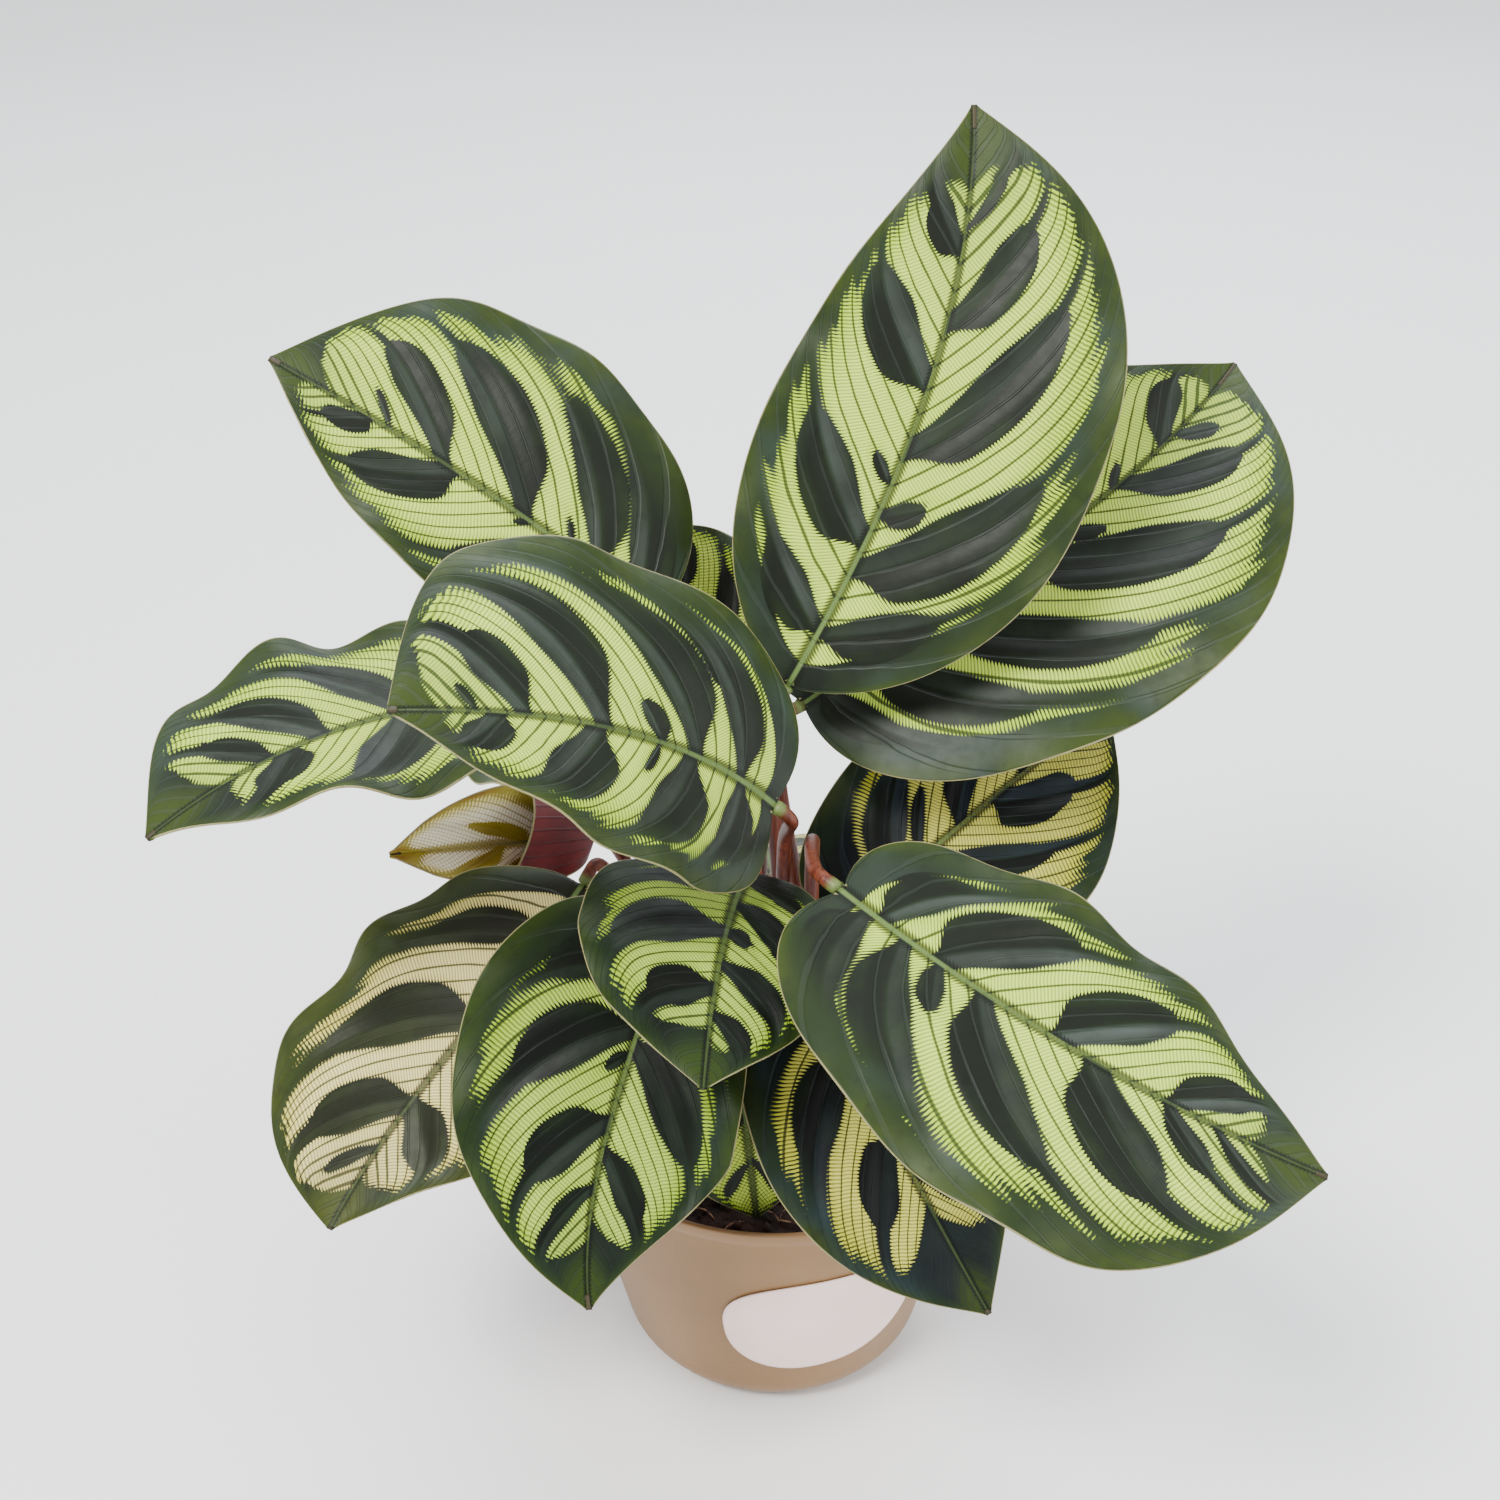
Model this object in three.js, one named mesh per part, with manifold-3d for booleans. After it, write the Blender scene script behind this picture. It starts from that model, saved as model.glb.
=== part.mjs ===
// Potted calathea (peacock plant): a tapered plastic pot filled with peat, and a clump of
// waved oval leaves, each on its own leaf stalk that stands in a plain hole in the soil.
// Millimetres, +Z up. The origin is the middle of the pot's flat base; +Y is the back.
import * as THREE from 'three';
import { mergeVertices } from 'three/addons/utils/BufferGeometryUtils.js';
import Module from 'manifold-3d';

const wasm = await Module();
wasm.setup();

// ---------------------------------------------------------------- driving dimensions
const CLEARANCE = 0.3;

const POT_RIM_RADIUS = 60;
const POT_FOOT_RADIUS = 41;
const POT_HEIGHT = 82;
const POT_CORNER = 14;
const POT_WALL = 1.6;
const POT_FLOOR = 2.4;
const POT_SEGMENTS = 48;
const CORNER_STEPS = 5;
const DRAIN_COUNT = 5;
const DRAIN_RADIUS = 3.5;
const DRAIN_CIRCLE = 19;
const DRAIN_SIDES = 20;
const LIP_ROUNDING = 0.3;

const SOIL_EDGE_HEIGHT = 76;
const SOIL_CROWN = 3;
const SOIL_RINGS = 6;

const LABEL_ANGLE = -74;
const LABEL_HEIGHT = 40;
const LABEL_HALF_LENGTH = 28;
const LABEL_HALF_WIDTH = 20;
const LABEL_TILT = 3;
const LABEL_THICKNESS = 0.6;
const LABEL_SQUARENESS = 0.8;
const LABEL_RINGS = 4;
const LABEL_SPOKES = 32;

const BLADE_THICKNESS = 0.8;
const BLADE_NECK_HALF = 1.4;
const BLADE_TIP_HALF = 0.5;
const RIB_DEPTH = 1.9;
const RIB_HALF = 1.3;
const RIB_NARROWING = 0.6;
const RIB_FLATTENING = 0.8;
const RIB_SHARE = 0.8;
const TIP_TRIM = 0.25;
const TIP_TRIM_POWER = 9;
const WAVE_OFFSET = 0.2;
const WAVE_POWER = 3;
const BLADE_ROWS = 14;
const BLADE_COLUMNS = 3;
const LOBE_FADE = 4;

const STALK_FOOT_RADIUS = 2.2;
const STALK_NECK_RADIUS = 1.5;
const STALK_DEPTH = 16;
const STALK_RISE = 34;
const STALK_LEAN = 0.35;
const STALK_BEND = 7;
const STALK_STEPS = 12;
const STALK_SIDES = 7;

// Each leaf: where its stalk leaves the soil (and a point it goes by, where it has to bend round
// another leaf), where the blade begins (neck) and ends (tip), and the way its upper side faces.
// Pairs are for the halves left and right of the midrib, seen from above with the tip ahead: the
// width, where along it is widest, how full it stays towards the tip, and how far the base lobe
// reaches back. Then the midrib's bow towards the face and its sweep to the right (near the neck
// and near the tip), the rise of each half from the midrib in degrees, the further curl towards
// the margin in degrees, and the margin's waves (height, count, phase).
const LEAVES = [
  {
    name: 'tall', foot: [4, 6], neck: [3, 5, 207], tip: [47, 51, 340], face: [-0.1, -0.93, 0.36],
    width: [36, 46.5], peak: [0.36, 0.47], full: [2.2, 2.9], lobe: [-8, -13], bow: [5, 4],
    sweep: [11, 17], fold: [13.5, 11], curl: -14, wave: [2.6, 3.2, 0.1],
  },
  {
    name: 'right_back', foot: [13, 12], neck: [7, 20, 193], tip: [125, 83, 264],
    face: [-0.1, -0.75, 0.65], width: [44, 57], peak: [0.46, 0.52], full: [2.2, 2.3],
    lobe: [18, 10], bow: [8, 12], sweep: [5, 15], fold: [20, 22], curl: -16,
    wave: [3.6, 3.4, 0.04],
  },
  {
    name: 'left_back', foot: [-9, 9], neck: [-31, 14, 222], tip: [-125, 33, 283],
    face: [0.1, -0.7, 0.7], width: [28, 45], peak: [0.42, 0.46], full: [1.9, 2.8],
    lobe: [8, 8], bow: [6, 4], sweep: [2, 2], fold: [8, 8], curl: -16, wave: [2.4, 3.1, 0.7],
  },
  {
    name: 'left', foot: [-17, -3], neck: [-52, -8, 209], tip: [-138.5, -74, 211],
    face: [0.1, -0.15, 1], width: [32, 34.5], peak: [0.41, 0.35], full: [1.6, 4.5],
    lobe: [13, 4], bow: [12, 18], sweep: [4, 2.5], fold: [11, 5], curl: -10,
    wave: [3.9, 3.2, 0.26],
  },
  {
    name: 'front', foot: [2, -4], via: [2, -13, 170], neck: [-1, -40, 199],
    tip: [-80, -90, 252], face: [-0.2, -0.62, 0.75], width: [29, 47], peak: [0.32, 0.56], full: [2, 3],
    lobe: [26, 14], bow: [10, 8], sweep: [8, 6], fold: [6, 6], curl: -22,
    wave: [2.2, 3.1, 0.3],
  },
  {
    name: 'young', foot: [-16, 3], neck: [-52, 20, 152], tip: [-100, -6, 163],
    face: [-0.2, -0.8, 0.55], width: [14, 17], peak: [0.4, 0.4], full: [2.1, 2.1],
    lobe: [2, 2], bow: [3, 3], sweep: [0, 0], fold: [20, 20], curl: 20,
    wave: [0.8, 2.2, 0.1],
  },
  {
    name: 'low_left', foot: [-19, -9], neck: [-49, -20, 163], tip: [-109, -78, 101],
    face: [-0.35, -0.6, 0.75], width: [31.5, 42], peak: [0.49, 0.52], full: [1.5, 4.9],
    lobe: [12, 9], bow: [9, 0], sweep: [-6, 6.5], fold: [1, 7], curl: -18,
    wave: [3.3, 3.4, 0.63],
  },
  {
    name: 'low_middle', foot: [-12, -15], neck: [-27, -38, 162], tip: [-45, -95.5, 92],
    face: [-0.1, -0.85, 0.5], width: [30.5, 41], peak: [0.55, 0.41], full: [1.4, 1.9],
    lobe: [12, 23], bow: [14, 4], sweep: [-1, 9.5], fold: [9, 16], curl: -18,
    wave: [2.1, 3, 0.17],
  },
  {
    name: 'small', foot: [-5, -12], neck: [-7, -28, 172], tip: [-17, -98, 161],
    face: [0, -0.35, 0.95], width: [28, 36], peak: [0.5, 0.32], full: [2.1, 2.1],
    lobe: [10, 10], bow: [10, 8], sweep: [2, 2], fold: [0, 6], curl: -14,
    wave: [2, 3, 0.5],
  },
  {
    name: 'low_right', foot: [9, -9], via: [9, -19, 174], neck: [14, -58, 187],
    tip: [119, -112, 148], face: [0.15, -0.5, 0.85], width: [33, 45], peak: [0.4, 0.55],
    full: [2.1, 2.2], lobe: [20, 20], bow: [10, 8], sweep: [11, 11], fold: [8, 8], curl: -16,
    wave: [3, 3.3, 0.2],
  },
  {
    name: 'under_right', foot: [8, -19], neck: [8, -40, 150], tip: [52, -85, 80],
    face: [0.2, -0.8, 0.6], width: [27, 32], peak: [0.42, 0.42], full: [2.1, 2.1],
    lobe: [11, 11], bow: [6, 4], sweep: [2, 2], fold: [8, 8], curl: -14, wave: [1.4, 3, 0.2],
  },
  {
    name: 'right', foot: [18, -2], neck: [19, -4, 140], tip: [92, 44, 180],
    face: [0.1, -0.6, 0.8], width: [33, 38], peak: [0.45, 0.45], full: [2.1, 2.1],
    lobe: [20, 16], bow: [6, 4], sweep: [0, 0], fold: [8, 8], curl: -14, wave: [1.6, 3, 0.4],
  },
  {
    name: 'back_centre', foot: [-4, 15], neck: [-9, 36, 193], tip: [-36, 62, 224],
    face: [0.1, -0.75, 0.65], width: [20, 20], peak: [0.6, 0.6], full: [2.1, 2.1],
    lobe: [5, 5], bow: [4, 4], sweep: [0, 0], fold: [8, 8], curl: -12, wave: [1, 3, 0.4],
  },
  {
    name: 'rim', foot: [0, -24], neck: [-9, -33, 112], tip: [-5, -50, 79],
    face: [0, -0.85, 0.5], width: [16, 18], peak: [0.45, 0.45], full: [2.1, 2.1],
    lobe: [4, 4], bow: [4, 3], sweep: [0, 0], fold: [10, 10], curl: -10, wave: [0.8, 2.2, 0.4],
  },
  {
    name: 'back_left', foot: [-14, 16], neck: [-34, 40, 150], tip: [-88, 112, 130],
    face: [-0.3, 0.45, 0.85], width: [31, 33], peak: [0.44, 0.44], full: [2.3, 2.3],
    lobe: [13, 13], bow: [10, 8], sweep: [0, 0], fold: [8, 8], curl: -16, wave: [2, 3, 0.4],
  },
  {
    name: 'back_low', foot: [1, 23], neck: [0, 46, 122], tip: [-8, 122, 84],
    face: [0, 0.5, 0.85], width: [29, 31], peak: [0.44, 0.44], full: [2.3, 2.3],
    lobe: [12, 12], bow: [9, 7], sweep: [0, 0], fold: [8, 8], curl: -16, wave: [1.8, 3, 0.1],
  },
  {
    name: 'back_right', foot: [14, 19], neck: [34, 44, 146], tip: [92, 104, 108],
    face: [0.35, 0.4, 0.85], width: [31, 32], peak: [0.44, 0.44], full: [2.3, 2.3],
    lobe: [13, 13], bow: [10, 8], sweep: [0, 0], fold: [8, 8], curl: -16, wave: [2, 3, 0.7],
  },
];

// ---------------------------------------------------------------- small helpers
const radians = THREE.MathUtils.degToRad;
const vector = (values) => new THREE.Vector3(...values);

function material(colour, roughness) {
  return new THREE.MeshStandardMaterial({ color: colour, roughness, metalness: 0 });
}

function geometryFrom(positions, index) {
  const geometry = new THREE.BufferGeometry();
  geometry.setAttribute('position', new THREE.Float32BufferAttribute(positions, 3));
  geometry.setIndex(index);
  return geometry;
}

function toSolid(geometry) {
  const bare = geometry.clone();
  bare.deleteAttribute('normal');
  bare.deleteAttribute('uv');
  const merged = mergeVertices(bare, 1e-4);
  return new wasm.Manifold(new wasm.Mesh({
    numProp: 3,
    vertProperties: new Float32Array(merged.attributes.position.array),
    triVerts: new Uint32Array(merged.index.array),
  }));
}

function fromSolid(solid) {
  const mesh = solid.getMesh();
  return geometryFrom(mesh.vertProperties, [...mesh.triVerts]);
}

// A lathe's profile is drawn as (radius, height), and the turned shape is stood up along +Z.
function turned(profile, segments) {
  const points = profile.map(([radius, height]) => new THREE.Vector2(radius, height));
  const geometry = new THREE.LatheGeometry(points, segments);
  geometry.rotateX(Math.PI / 2);
  return geometry;
}

// ---------------------------------------------------------------- pot
const WALL_LEAN = Math.atan2(POT_HEIGHT, POT_RIM_RADIUS - POT_FOOT_RADIUS);

function wallRadius(height) {
  return POT_FOOT_RADIUS + height / Math.tan(WALL_LEAN);
}

// The rounded foot of the wall, from the flat base to where the wall runs straight.
function footArc(inset, corner, base) {
  const flat = corner / Math.tan((Math.PI - WALL_LEAN) / 2);
  const shift = inset / Math.sin(WALL_LEAN);
  const centre = wallRadius(base) - shift - flat;
  const points = [];
  for (let step = 0; step <= CORNER_STEPS; step += 1) {
    const angle = -Math.PI / 2 + (WALL_LEAN * step) / CORNER_STEPS;
    points.push([centre + corner * Math.cos(angle), base + corner + corner * Math.sin(angle)]);
  }
  return points;
}

function potGeometry() {
  const inset = POT_WALL / Math.sin(WALL_LEAN);
  const lip = POT_WALL / 2;
  const outer = footArc(0, POT_CORNER, 0);
  const inner = footArc(POT_WALL, POT_CORNER - POT_WALL, POT_FLOOR);
  const profile = [
    [0, 0],
    ...outer,
    [wallRadius(POT_HEIGHT - lip), POT_HEIGHT - lip],
    [POT_RIM_RADIUS - lip * LIP_ROUNDING, POT_HEIGHT - lip * LIP_ROUNDING],
    [POT_RIM_RADIUS - lip, POT_HEIGHT],
    [POT_RIM_RADIUS - inset + lip * LIP_ROUNDING, POT_HEIGHT - lip * LIP_ROUNDING],
    [wallRadius(POT_HEIGHT - lip) - inset, POT_HEIGHT - lip],
    ...inner.reverse(),
    [0, POT_FLOOR],
  ];
  let pot = toSolid(turned(profile, POT_SEGMENTS));
  for (let hole = 0; hole < DRAIN_COUNT; hole += 1) {
    const angle = (2 * Math.PI * hole) / DRAIN_COUNT;
    const depth = 3 * POT_FLOOR;
    const drain = new THREE.CylinderGeometry(DRAIN_RADIUS, DRAIN_RADIUS, depth, DRAIN_SIDES);
    drain.rotateX(Math.PI / 2);
    drain.translate(DRAIN_CIRCLE * Math.cos(angle), DRAIN_CIRCLE * Math.sin(angle), POT_FLOOR / 2);
    pot = pot.subtract(toSolid(drain));
  }
  return fromSolid(pot);
}

// ---------------------------------------------------------------- label
// A blank oval sticker wrapped round the wall, a hair off it.
function labelGeometry() {
  const rings = LABEL_RINGS;
  const spokes = LABEL_SPOKES;
  const positions = [];
  const index = [];
  const tilt = radians(LABEL_TILT);
  for (const lift of [CLEARANCE, CLEARANCE + LABEL_THICKNESS]) {
    for (let ring = 0; ring <= rings; ring += 1) {
      for (let spoke = 0; spoke < spokes; spoke += 1) {
        const turn = (2 * Math.PI * spoke) / spokes;
        const reach = ring / rings;
        const across = reach * LABEL_HALF_LENGTH * Math.sign(Math.cos(turn))
          * Math.abs(Math.cos(turn)) ** LABEL_SQUARENESS;
        const up = reach * LABEL_HALF_WIDTH * Math.sign(Math.sin(turn))
          * Math.abs(Math.sin(turn)) ** LABEL_SQUARENESS;
        const height = LABEL_HEIGHT + across * Math.sin(tilt) + up * Math.cos(tilt);
        const sweep = (across * Math.cos(tilt) - up * Math.sin(tilt)) / wallRadius(LABEL_HEIGHT);
        const angle = radians(LABEL_ANGLE) + sweep;
        const radius = wallRadius(height) + lift / Math.sin(WALL_LEAN);
        positions.push(radius * Math.cos(angle), radius * Math.sin(angle), height);
      }
    }
  }
  const layer = (rings + 1) * spokes;
  const at = (side, ring, spoke) => side * layer + ring * spokes + (spoke % spokes);
  for (let spoke = 0; spoke < spokes; spoke += 1) {
    for (let ring = 0; ring < rings; ring += 1) {
      const [a, b] = [at(1, ring, spoke), at(1, ring, spoke + 1)];
      const [c, d] = [at(1, ring + 1, spoke + 1), at(1, ring + 1, spoke)];
      index.push(a, d, c, a, c, b);
      index.push(a - layer, c - layer, d - layer, a - layer, b - layer, c - layer);
    }
    const [a, b] = [at(1, rings, spoke), at(1, rings, spoke + 1)];
    index.push(a, a - layer, b - layer, a, b - layer, b);
  }
  return fromSolid(toSolid(geometryFrom(positions, index)));
}

// ---------------------------------------------------------------- tubes and stalks
// A closed tube along a curve, with the frame carried along it so that it doesn't twist.
function tubeGeometry(curve, steps, sides, radiusAt) {
  const positions = [];
  const index = [];
  let along = curve.getTangent(0);
  let right = new THREE.Vector3(1, 0, 0).cross(along).normalize();
  for (let step = 0; step <= steps; step += 1) {
    const t = step / steps;
    const next = curve.getTangent(t);
    right.applyQuaternion(new THREE.Quaternion().setFromUnitVectors(along, next));
    along = next;
    const up = new THREE.Vector3().crossVectors(along, right);
    const centre = curve.getPoint(t);
    for (let side = 0; side < sides; side += 1) {
      const turn = (2 * Math.PI * side) / sides;
      const point = centre.clone()
        .addScaledVector(right, radiusAt(t) * Math.cos(turn))
        .addScaledVector(up, radiusAt(t) * Math.sin(turn));
      positions.push(point.x, point.y, point.z);
    }
  }
  for (let step = 0; step < steps; step += 1) {
    for (let side = 0; side < sides; side += 1) {
      const a = step * sides + side;
      const b = step * sides + ((side + 1) % sides);
      index.push(a, b, b + sides, a, b + sides, a + sides);
    }
  }
  const last = steps * sides;
  for (let side = 1; side < sides - 1; side += 1) {
    index.push(0, side + 1, side, last, last + side, last + side + 1);
  }
  return geometryFrom(positions, index);
}

function soilHeight(radius) {
  const reach = radius / wallRadius(SOIL_EDGE_HEIGHT);
  return SOIL_EDGE_HEIGHT + SOIL_CROWN * (1 - reach * reach);
}

// The stalk rises from its foot in the soil and bends into the blade's own direction.
function stalkCurve(leaf) {
  const [x, y] = leaf.foot;
  const foot = new THREE.Vector3(x, y, soilHeight(Math.hypot(x, y)) - STALK_DEPTH);
  const along = leaf.spine.getTangent(0);
  const end = leaf.spine.getPoint(0).addScaledVector(along, -CLEARANCE);
  const lean = end.clone().sub(foot).normalize().multiplyScalar(STALK_LEAN);
  const rise = new THREE.Vector3(lean.x, lean.y, 1).normalize();
  return new THREE.CatmullRomCurve3([
    foot,
    foot.clone().addScaledVector(rise, STALK_RISE),
    ...(leaf.via ? [vector(leaf.via)] : []),
    end.clone().addScaledVector(along, -STALK_BEND),
    end,
  ]);
}

function stalkRadius(t) {
  return STALK_FOOT_RADIUS + (STALK_NECK_RADIUS - STALK_FOOT_RADIUS) * t;
}

// ---------------------------------------------------------------- blades
function bladeSpine(leaf) {
  const neck = vector(leaf.neck);
  const tip = vector(leaf.tip);
  const third = tip.clone().sub(neck).divideScalar(3);
  const along = third.clone().normalize();
  const face = squareTo(vector(leaf.face), along);
  const right = new THREE.Vector3().crossVectors(along, face);
  const nearNeck = neck.clone().add(third)
    .addScaledVector(face, leaf.bow[0]).addScaledVector(right, leaf.sweep[0]);
  const nearTip = tip.clone().sub(third)
    .addScaledVector(face, leaf.bow[1]).addScaledVector(right, leaf.sweep[1]);
  return new THREE.CubicBezierCurve3(neck, nearNeck, nearTip, tip);
}

function squareTo(direction, along) {
  return direction.clone().addScaledVector(along, -direction.dot(along)).normalize();
}

// The outline: an ellipse's end at the base, a blunter curve to the short point at the tip.
function outline(leaf, t, side) {
  const peak = leaf.peak[side > 0 ? 1 : 0];
  if (t < peak) return Math.sqrt(Math.max(0, 1 - (1 - t / peak) ** 2));
  const reach = (t - peak) / (1 - peak);
  return (1 - reach ** leaf.full[side > 0 ? 1 : 0]) * (1 - TIP_TRIM * reach ** TIP_TRIM_POWER);
}

function halfWidth(leaf, t, side) {
  const least = BLADE_NECK_HALF + (BLADE_TIP_HALF - BLADE_NECK_HALF) * t;
  return least + (leaf.width[side > 0 ? 1 : 0] - least) * outline(leaf, t, side);
}

// A point of the blade at t along the midrib and a share `reach` of the way to the margin,
// lifted off the middle of the blade's thickness along its own normal.
function bladePoint(leaf, t, side, reach, lift) {
  const along = leaf.spine.getTangent(t);
  const up = squareTo(vector(leaf.face), along);
  const right = new THREE.Vector3().crossVectors(along, up);
  const width = halfWidth(leaf, t, side);
  const fold = leaf.fold[side > 0 ? 1 : 0];
  const chord = radians(fold + (leaf.curl * reach) / 2);
  const slope = radians(fold + leaf.curl * reach);
  const [height, count, phase] = leaf.wave;
  const wave = height * Math.sin(2 * Math.PI * (count * t + phase + WAVE_OFFSET * side))
    * reach ** WAVE_POWER * Math.sin(Math.PI * t);
  const share = Math.max(0, width * reach - BLADE_NECK_HALF) / leaf.width[side > 0 ? 1 : 0];
  const back = leaf.lobe[side > 0 ? 1 : 0] * share * (1 - t) ** LOBE_FADE;
  return leaf.spine.getPoint(t)
    .addScaledVector(right, side * (width * reach * Math.cos(chord) - lift * Math.sin(slope)))
    .addScaledVector(up, width * reach * Math.sin(chord) + wave + lift * Math.cos(slope))
    .addScaledVector(along, -back);
}

function bladeGeometry(leaf) {
  const positions = [];
  const index = [];
  const across = 2 * BLADE_COLUMNS + 3;
  const half = BLADE_THICKNESS / 2;
  for (const face of [1, -1]) {
    for (let row = 0; row <= BLADE_ROWS; row += 1) {
      const t = 0.5 - 0.5 * Math.cos((Math.PI * row) / BLADE_ROWS);
      for (let column = 0; column < across; column += 1) {
        const place = column - BLADE_COLUMNS - 1;
        const side = place < 0 ? -1 : 1;
        const width = halfWidth(leaf, t, side);
        const rib = Math.min(RIB_HALF * (1 - RIB_NARROWING * t) / width, RIB_SHARE);
        const reach = place === 0 ? 0 : rib + (1 - rib) * ((Math.abs(place) - 1) / BLADE_COLUMNS);
        const depth = place === 0 && face < 0 ? RIB_DEPTH * (1 - RIB_FLATTENING * t) : 0;
        const point = bladePoint(leaf, t, side, reach, face * half - depth);
        positions.push(point.x, point.y, point.z);
      }
    }
  }
  const layer = (BLADE_ROWS + 1) * across;
  for (let row = 0; row < BLADE_ROWS; row += 1) {
    for (let column = 0; column < across - 1; column += 1) {
      const a = row * across + column;
      const [b, c, d] = [a + 1, a + across + 1, a + across];
      index.push(a, b, c, a, c, d);
      index.push(a + layer, c + layer, b + layer, a + layer, d + layer, c + layer);
    }
  }
  const rim = [];
  for (let column = 0; column < across - 1; column += 1) rim.push(column);
  for (let row = 0; row < BLADE_ROWS; row += 1) rim.push(row * across + across - 1);
  for (let column = across - 1; column > 0; column -= 1) rim.push(BLADE_ROWS * across + column);
  for (let row = BLADE_ROWS; row > 0; row -= 1) rim.push(row * across);
  rim.forEach((a, place) => {
    const b = rim[(place + 1) % rim.length];
    index.push(a, a + layer, b + layer, a, b + layer, b);
  });
  return geometryFrom(positions, index);
}

// ---------------------------------------------------------------- soil
function soilGeometry(leaves) {
  const gap = POT_WALL + CLEARANCE;
  const profile = [
    [0, POT_FLOOR + CLEARANCE],
    ...footArc(gap, POT_CORNER - gap, POT_FLOOR + CLEARANCE),
    [wallRadius(SOIL_EDGE_HEIGHT) - gap / Math.sin(WALL_LEAN), SOIL_EDGE_HEIGHT],
  ];
  const edge = profile[profile.length - 1][0];
  for (let step = 1; step <= SOIL_RINGS; step += 1) {
    const radius = edge * (1 - step / SOIL_RINGS);
    profile.push([radius, soilHeight(radius)]);
  }
  let soil = toSolid(turned(profile, POT_SEGMENTS));
  for (const leaf of leaves) {
    const hole = tubeGeometry(stalkCurve(leaf), STALK_STEPS, STALK_SIDES, holeRadius);
    soil = soil.subtract(toSolid(hole));
  }
  return fromSolid(soil);
}

function holeRadius(t) {
  return stalkRadius(t) + CLEARANCE / Math.cos(Math.PI / STALK_SIDES);
}

// ---------------------------------------------------------------- assembly
const plastic = material('#a3866a', 0.45);
const paper = material('#e9e2dd', 0.7);
const peat = material('#2b1d16', 1);
const stalkGreen = material('#8a5f49', 0.5);
const bladeGreen = material('#4d6b3a', 0.4);

function piece(name, geometry, finish) {
  const mesh = new THREE.Mesh(geometry, finish);
  mesh.name = name;
  return mesh;
}

const plant = new THREE.Group();
for (const leaf of LEAVES) {
  leaf.spine = bladeSpine(leaf);
  const stalk = tubeGeometry(stalkCurve(leaf), STALK_STEPS, STALK_SIDES, stalkRadius);
  plant.add(piece(`${leaf.name}_blade`, bladeGeometry(leaf), bladeGreen));
  plant.add(piece(`${leaf.name}_stalk`, stalk, stalkGreen));
}
plant.add(piece('pot', potGeometry(), plastic));
plant.add(piece('label', labelGeometry(), paper));
plant.add(piece('soil', soilGeometry(LEAVES), peat));

export default plant;
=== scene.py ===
"""The looks of a potted calathea (peacock plant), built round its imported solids."""

import math

import bmesh
import bpy
import numpy as np
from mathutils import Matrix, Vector, noise


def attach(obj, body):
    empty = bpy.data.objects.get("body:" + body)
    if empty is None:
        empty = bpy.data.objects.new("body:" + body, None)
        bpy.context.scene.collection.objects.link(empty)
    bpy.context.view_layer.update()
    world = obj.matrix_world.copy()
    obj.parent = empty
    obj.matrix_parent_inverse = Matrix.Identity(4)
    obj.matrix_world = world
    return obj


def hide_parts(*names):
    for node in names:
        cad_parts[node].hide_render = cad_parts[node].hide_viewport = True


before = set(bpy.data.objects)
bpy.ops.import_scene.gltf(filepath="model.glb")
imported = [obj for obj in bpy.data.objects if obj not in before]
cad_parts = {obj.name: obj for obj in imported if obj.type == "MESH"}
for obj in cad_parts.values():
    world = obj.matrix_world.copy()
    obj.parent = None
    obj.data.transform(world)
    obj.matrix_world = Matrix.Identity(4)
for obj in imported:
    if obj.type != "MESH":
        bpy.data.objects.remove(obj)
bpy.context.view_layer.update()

MM = 0.001

# -------------------- camera
CAMERA_PLACE = (-6.7, -454.0, 453.0)
CAMERA_DIP = 30
CAMERA_LENS = 49.44
SENSOR = 36

camera_data = bpy.data.cameras.new("camera")
camera_data.lens = CAMERA_LENS
camera_data.sensor_width = SENSOR
camera = bpy.data.objects.new("camera", camera_data)
camera.location = Vector(CAMERA_PLACE) * MM
camera.rotation_euler = (math.radians(90 - CAMERA_DIP), 0, 0)
bpy.context.scene.collection.objects.link(camera)
bpy.context.scene.camera = camera

# -------------------- dimensions, in millimetres
POT_RIM_RADIUS = 60
POT_FOOT_RADIUS = 41
POT_HEIGHT = 82
POT_CORNER = 14
POT_WALL = 1.6
POT_FLOOR = 2.4
POT_SEGMENTS = 160
DRAIN_COUNT = 5
DRAIN_RADIUS = 3.5
DRAIN_CIRCLE = 19

SOIL_EDGE_HEIGHT = 76
SOIL_CROWN = 3
SOIL_GAP = 0.3

LABEL_ANGLE = -74
LABEL_HEIGHT = 40
LABEL_HALF_LENGTH = 28
LABEL_HALF_WIDTH = 20
LABEL_TILT = 3
LABEL_SQUARENESS = 0.8
LABEL_LIFT = 0.3
LABEL_THICKNESS = 0.4

NECK_HALF = 1.4
TIP_HALF = 0.5
TIP_TRIM = 0.25
TIP_TRIM_POWER = 9
WAVE_OFFSET = 0.2
WAVE_POWER = 3
LOBE_FADE = 4
BLADE_TOP = 0.35
BLADE_THICKNESS = 0.5
RIB_DEPTH = 1.7
RIB_HALF = 1.3
RIB_FLATTENING = 0.8
GRID_STEP = 0.8
QUILT_DEPTH = 1.1
RIPPLE_DEPTH = 0.14

STALK_FOOT_RADIUS = 2.2
STALK_NECK_RADIUS = 1.5
STALK_DEPTH = 12
STALK_RISE = 34
STALK_LEAN = 0.35
STALK_BEND = 7

# The lateral veins turn towards the tip, in the outer part more, and near the neck much less.
VEINS = 24
VEIN_CURVE = 0.4
VEIN_HOOK = 1.0
VEIN_HOOK_POWER = 5
VEIN_FAN = 0.9
VEIN_FAN_LENGTH = 0.3
HALVINGS = 24

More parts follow.
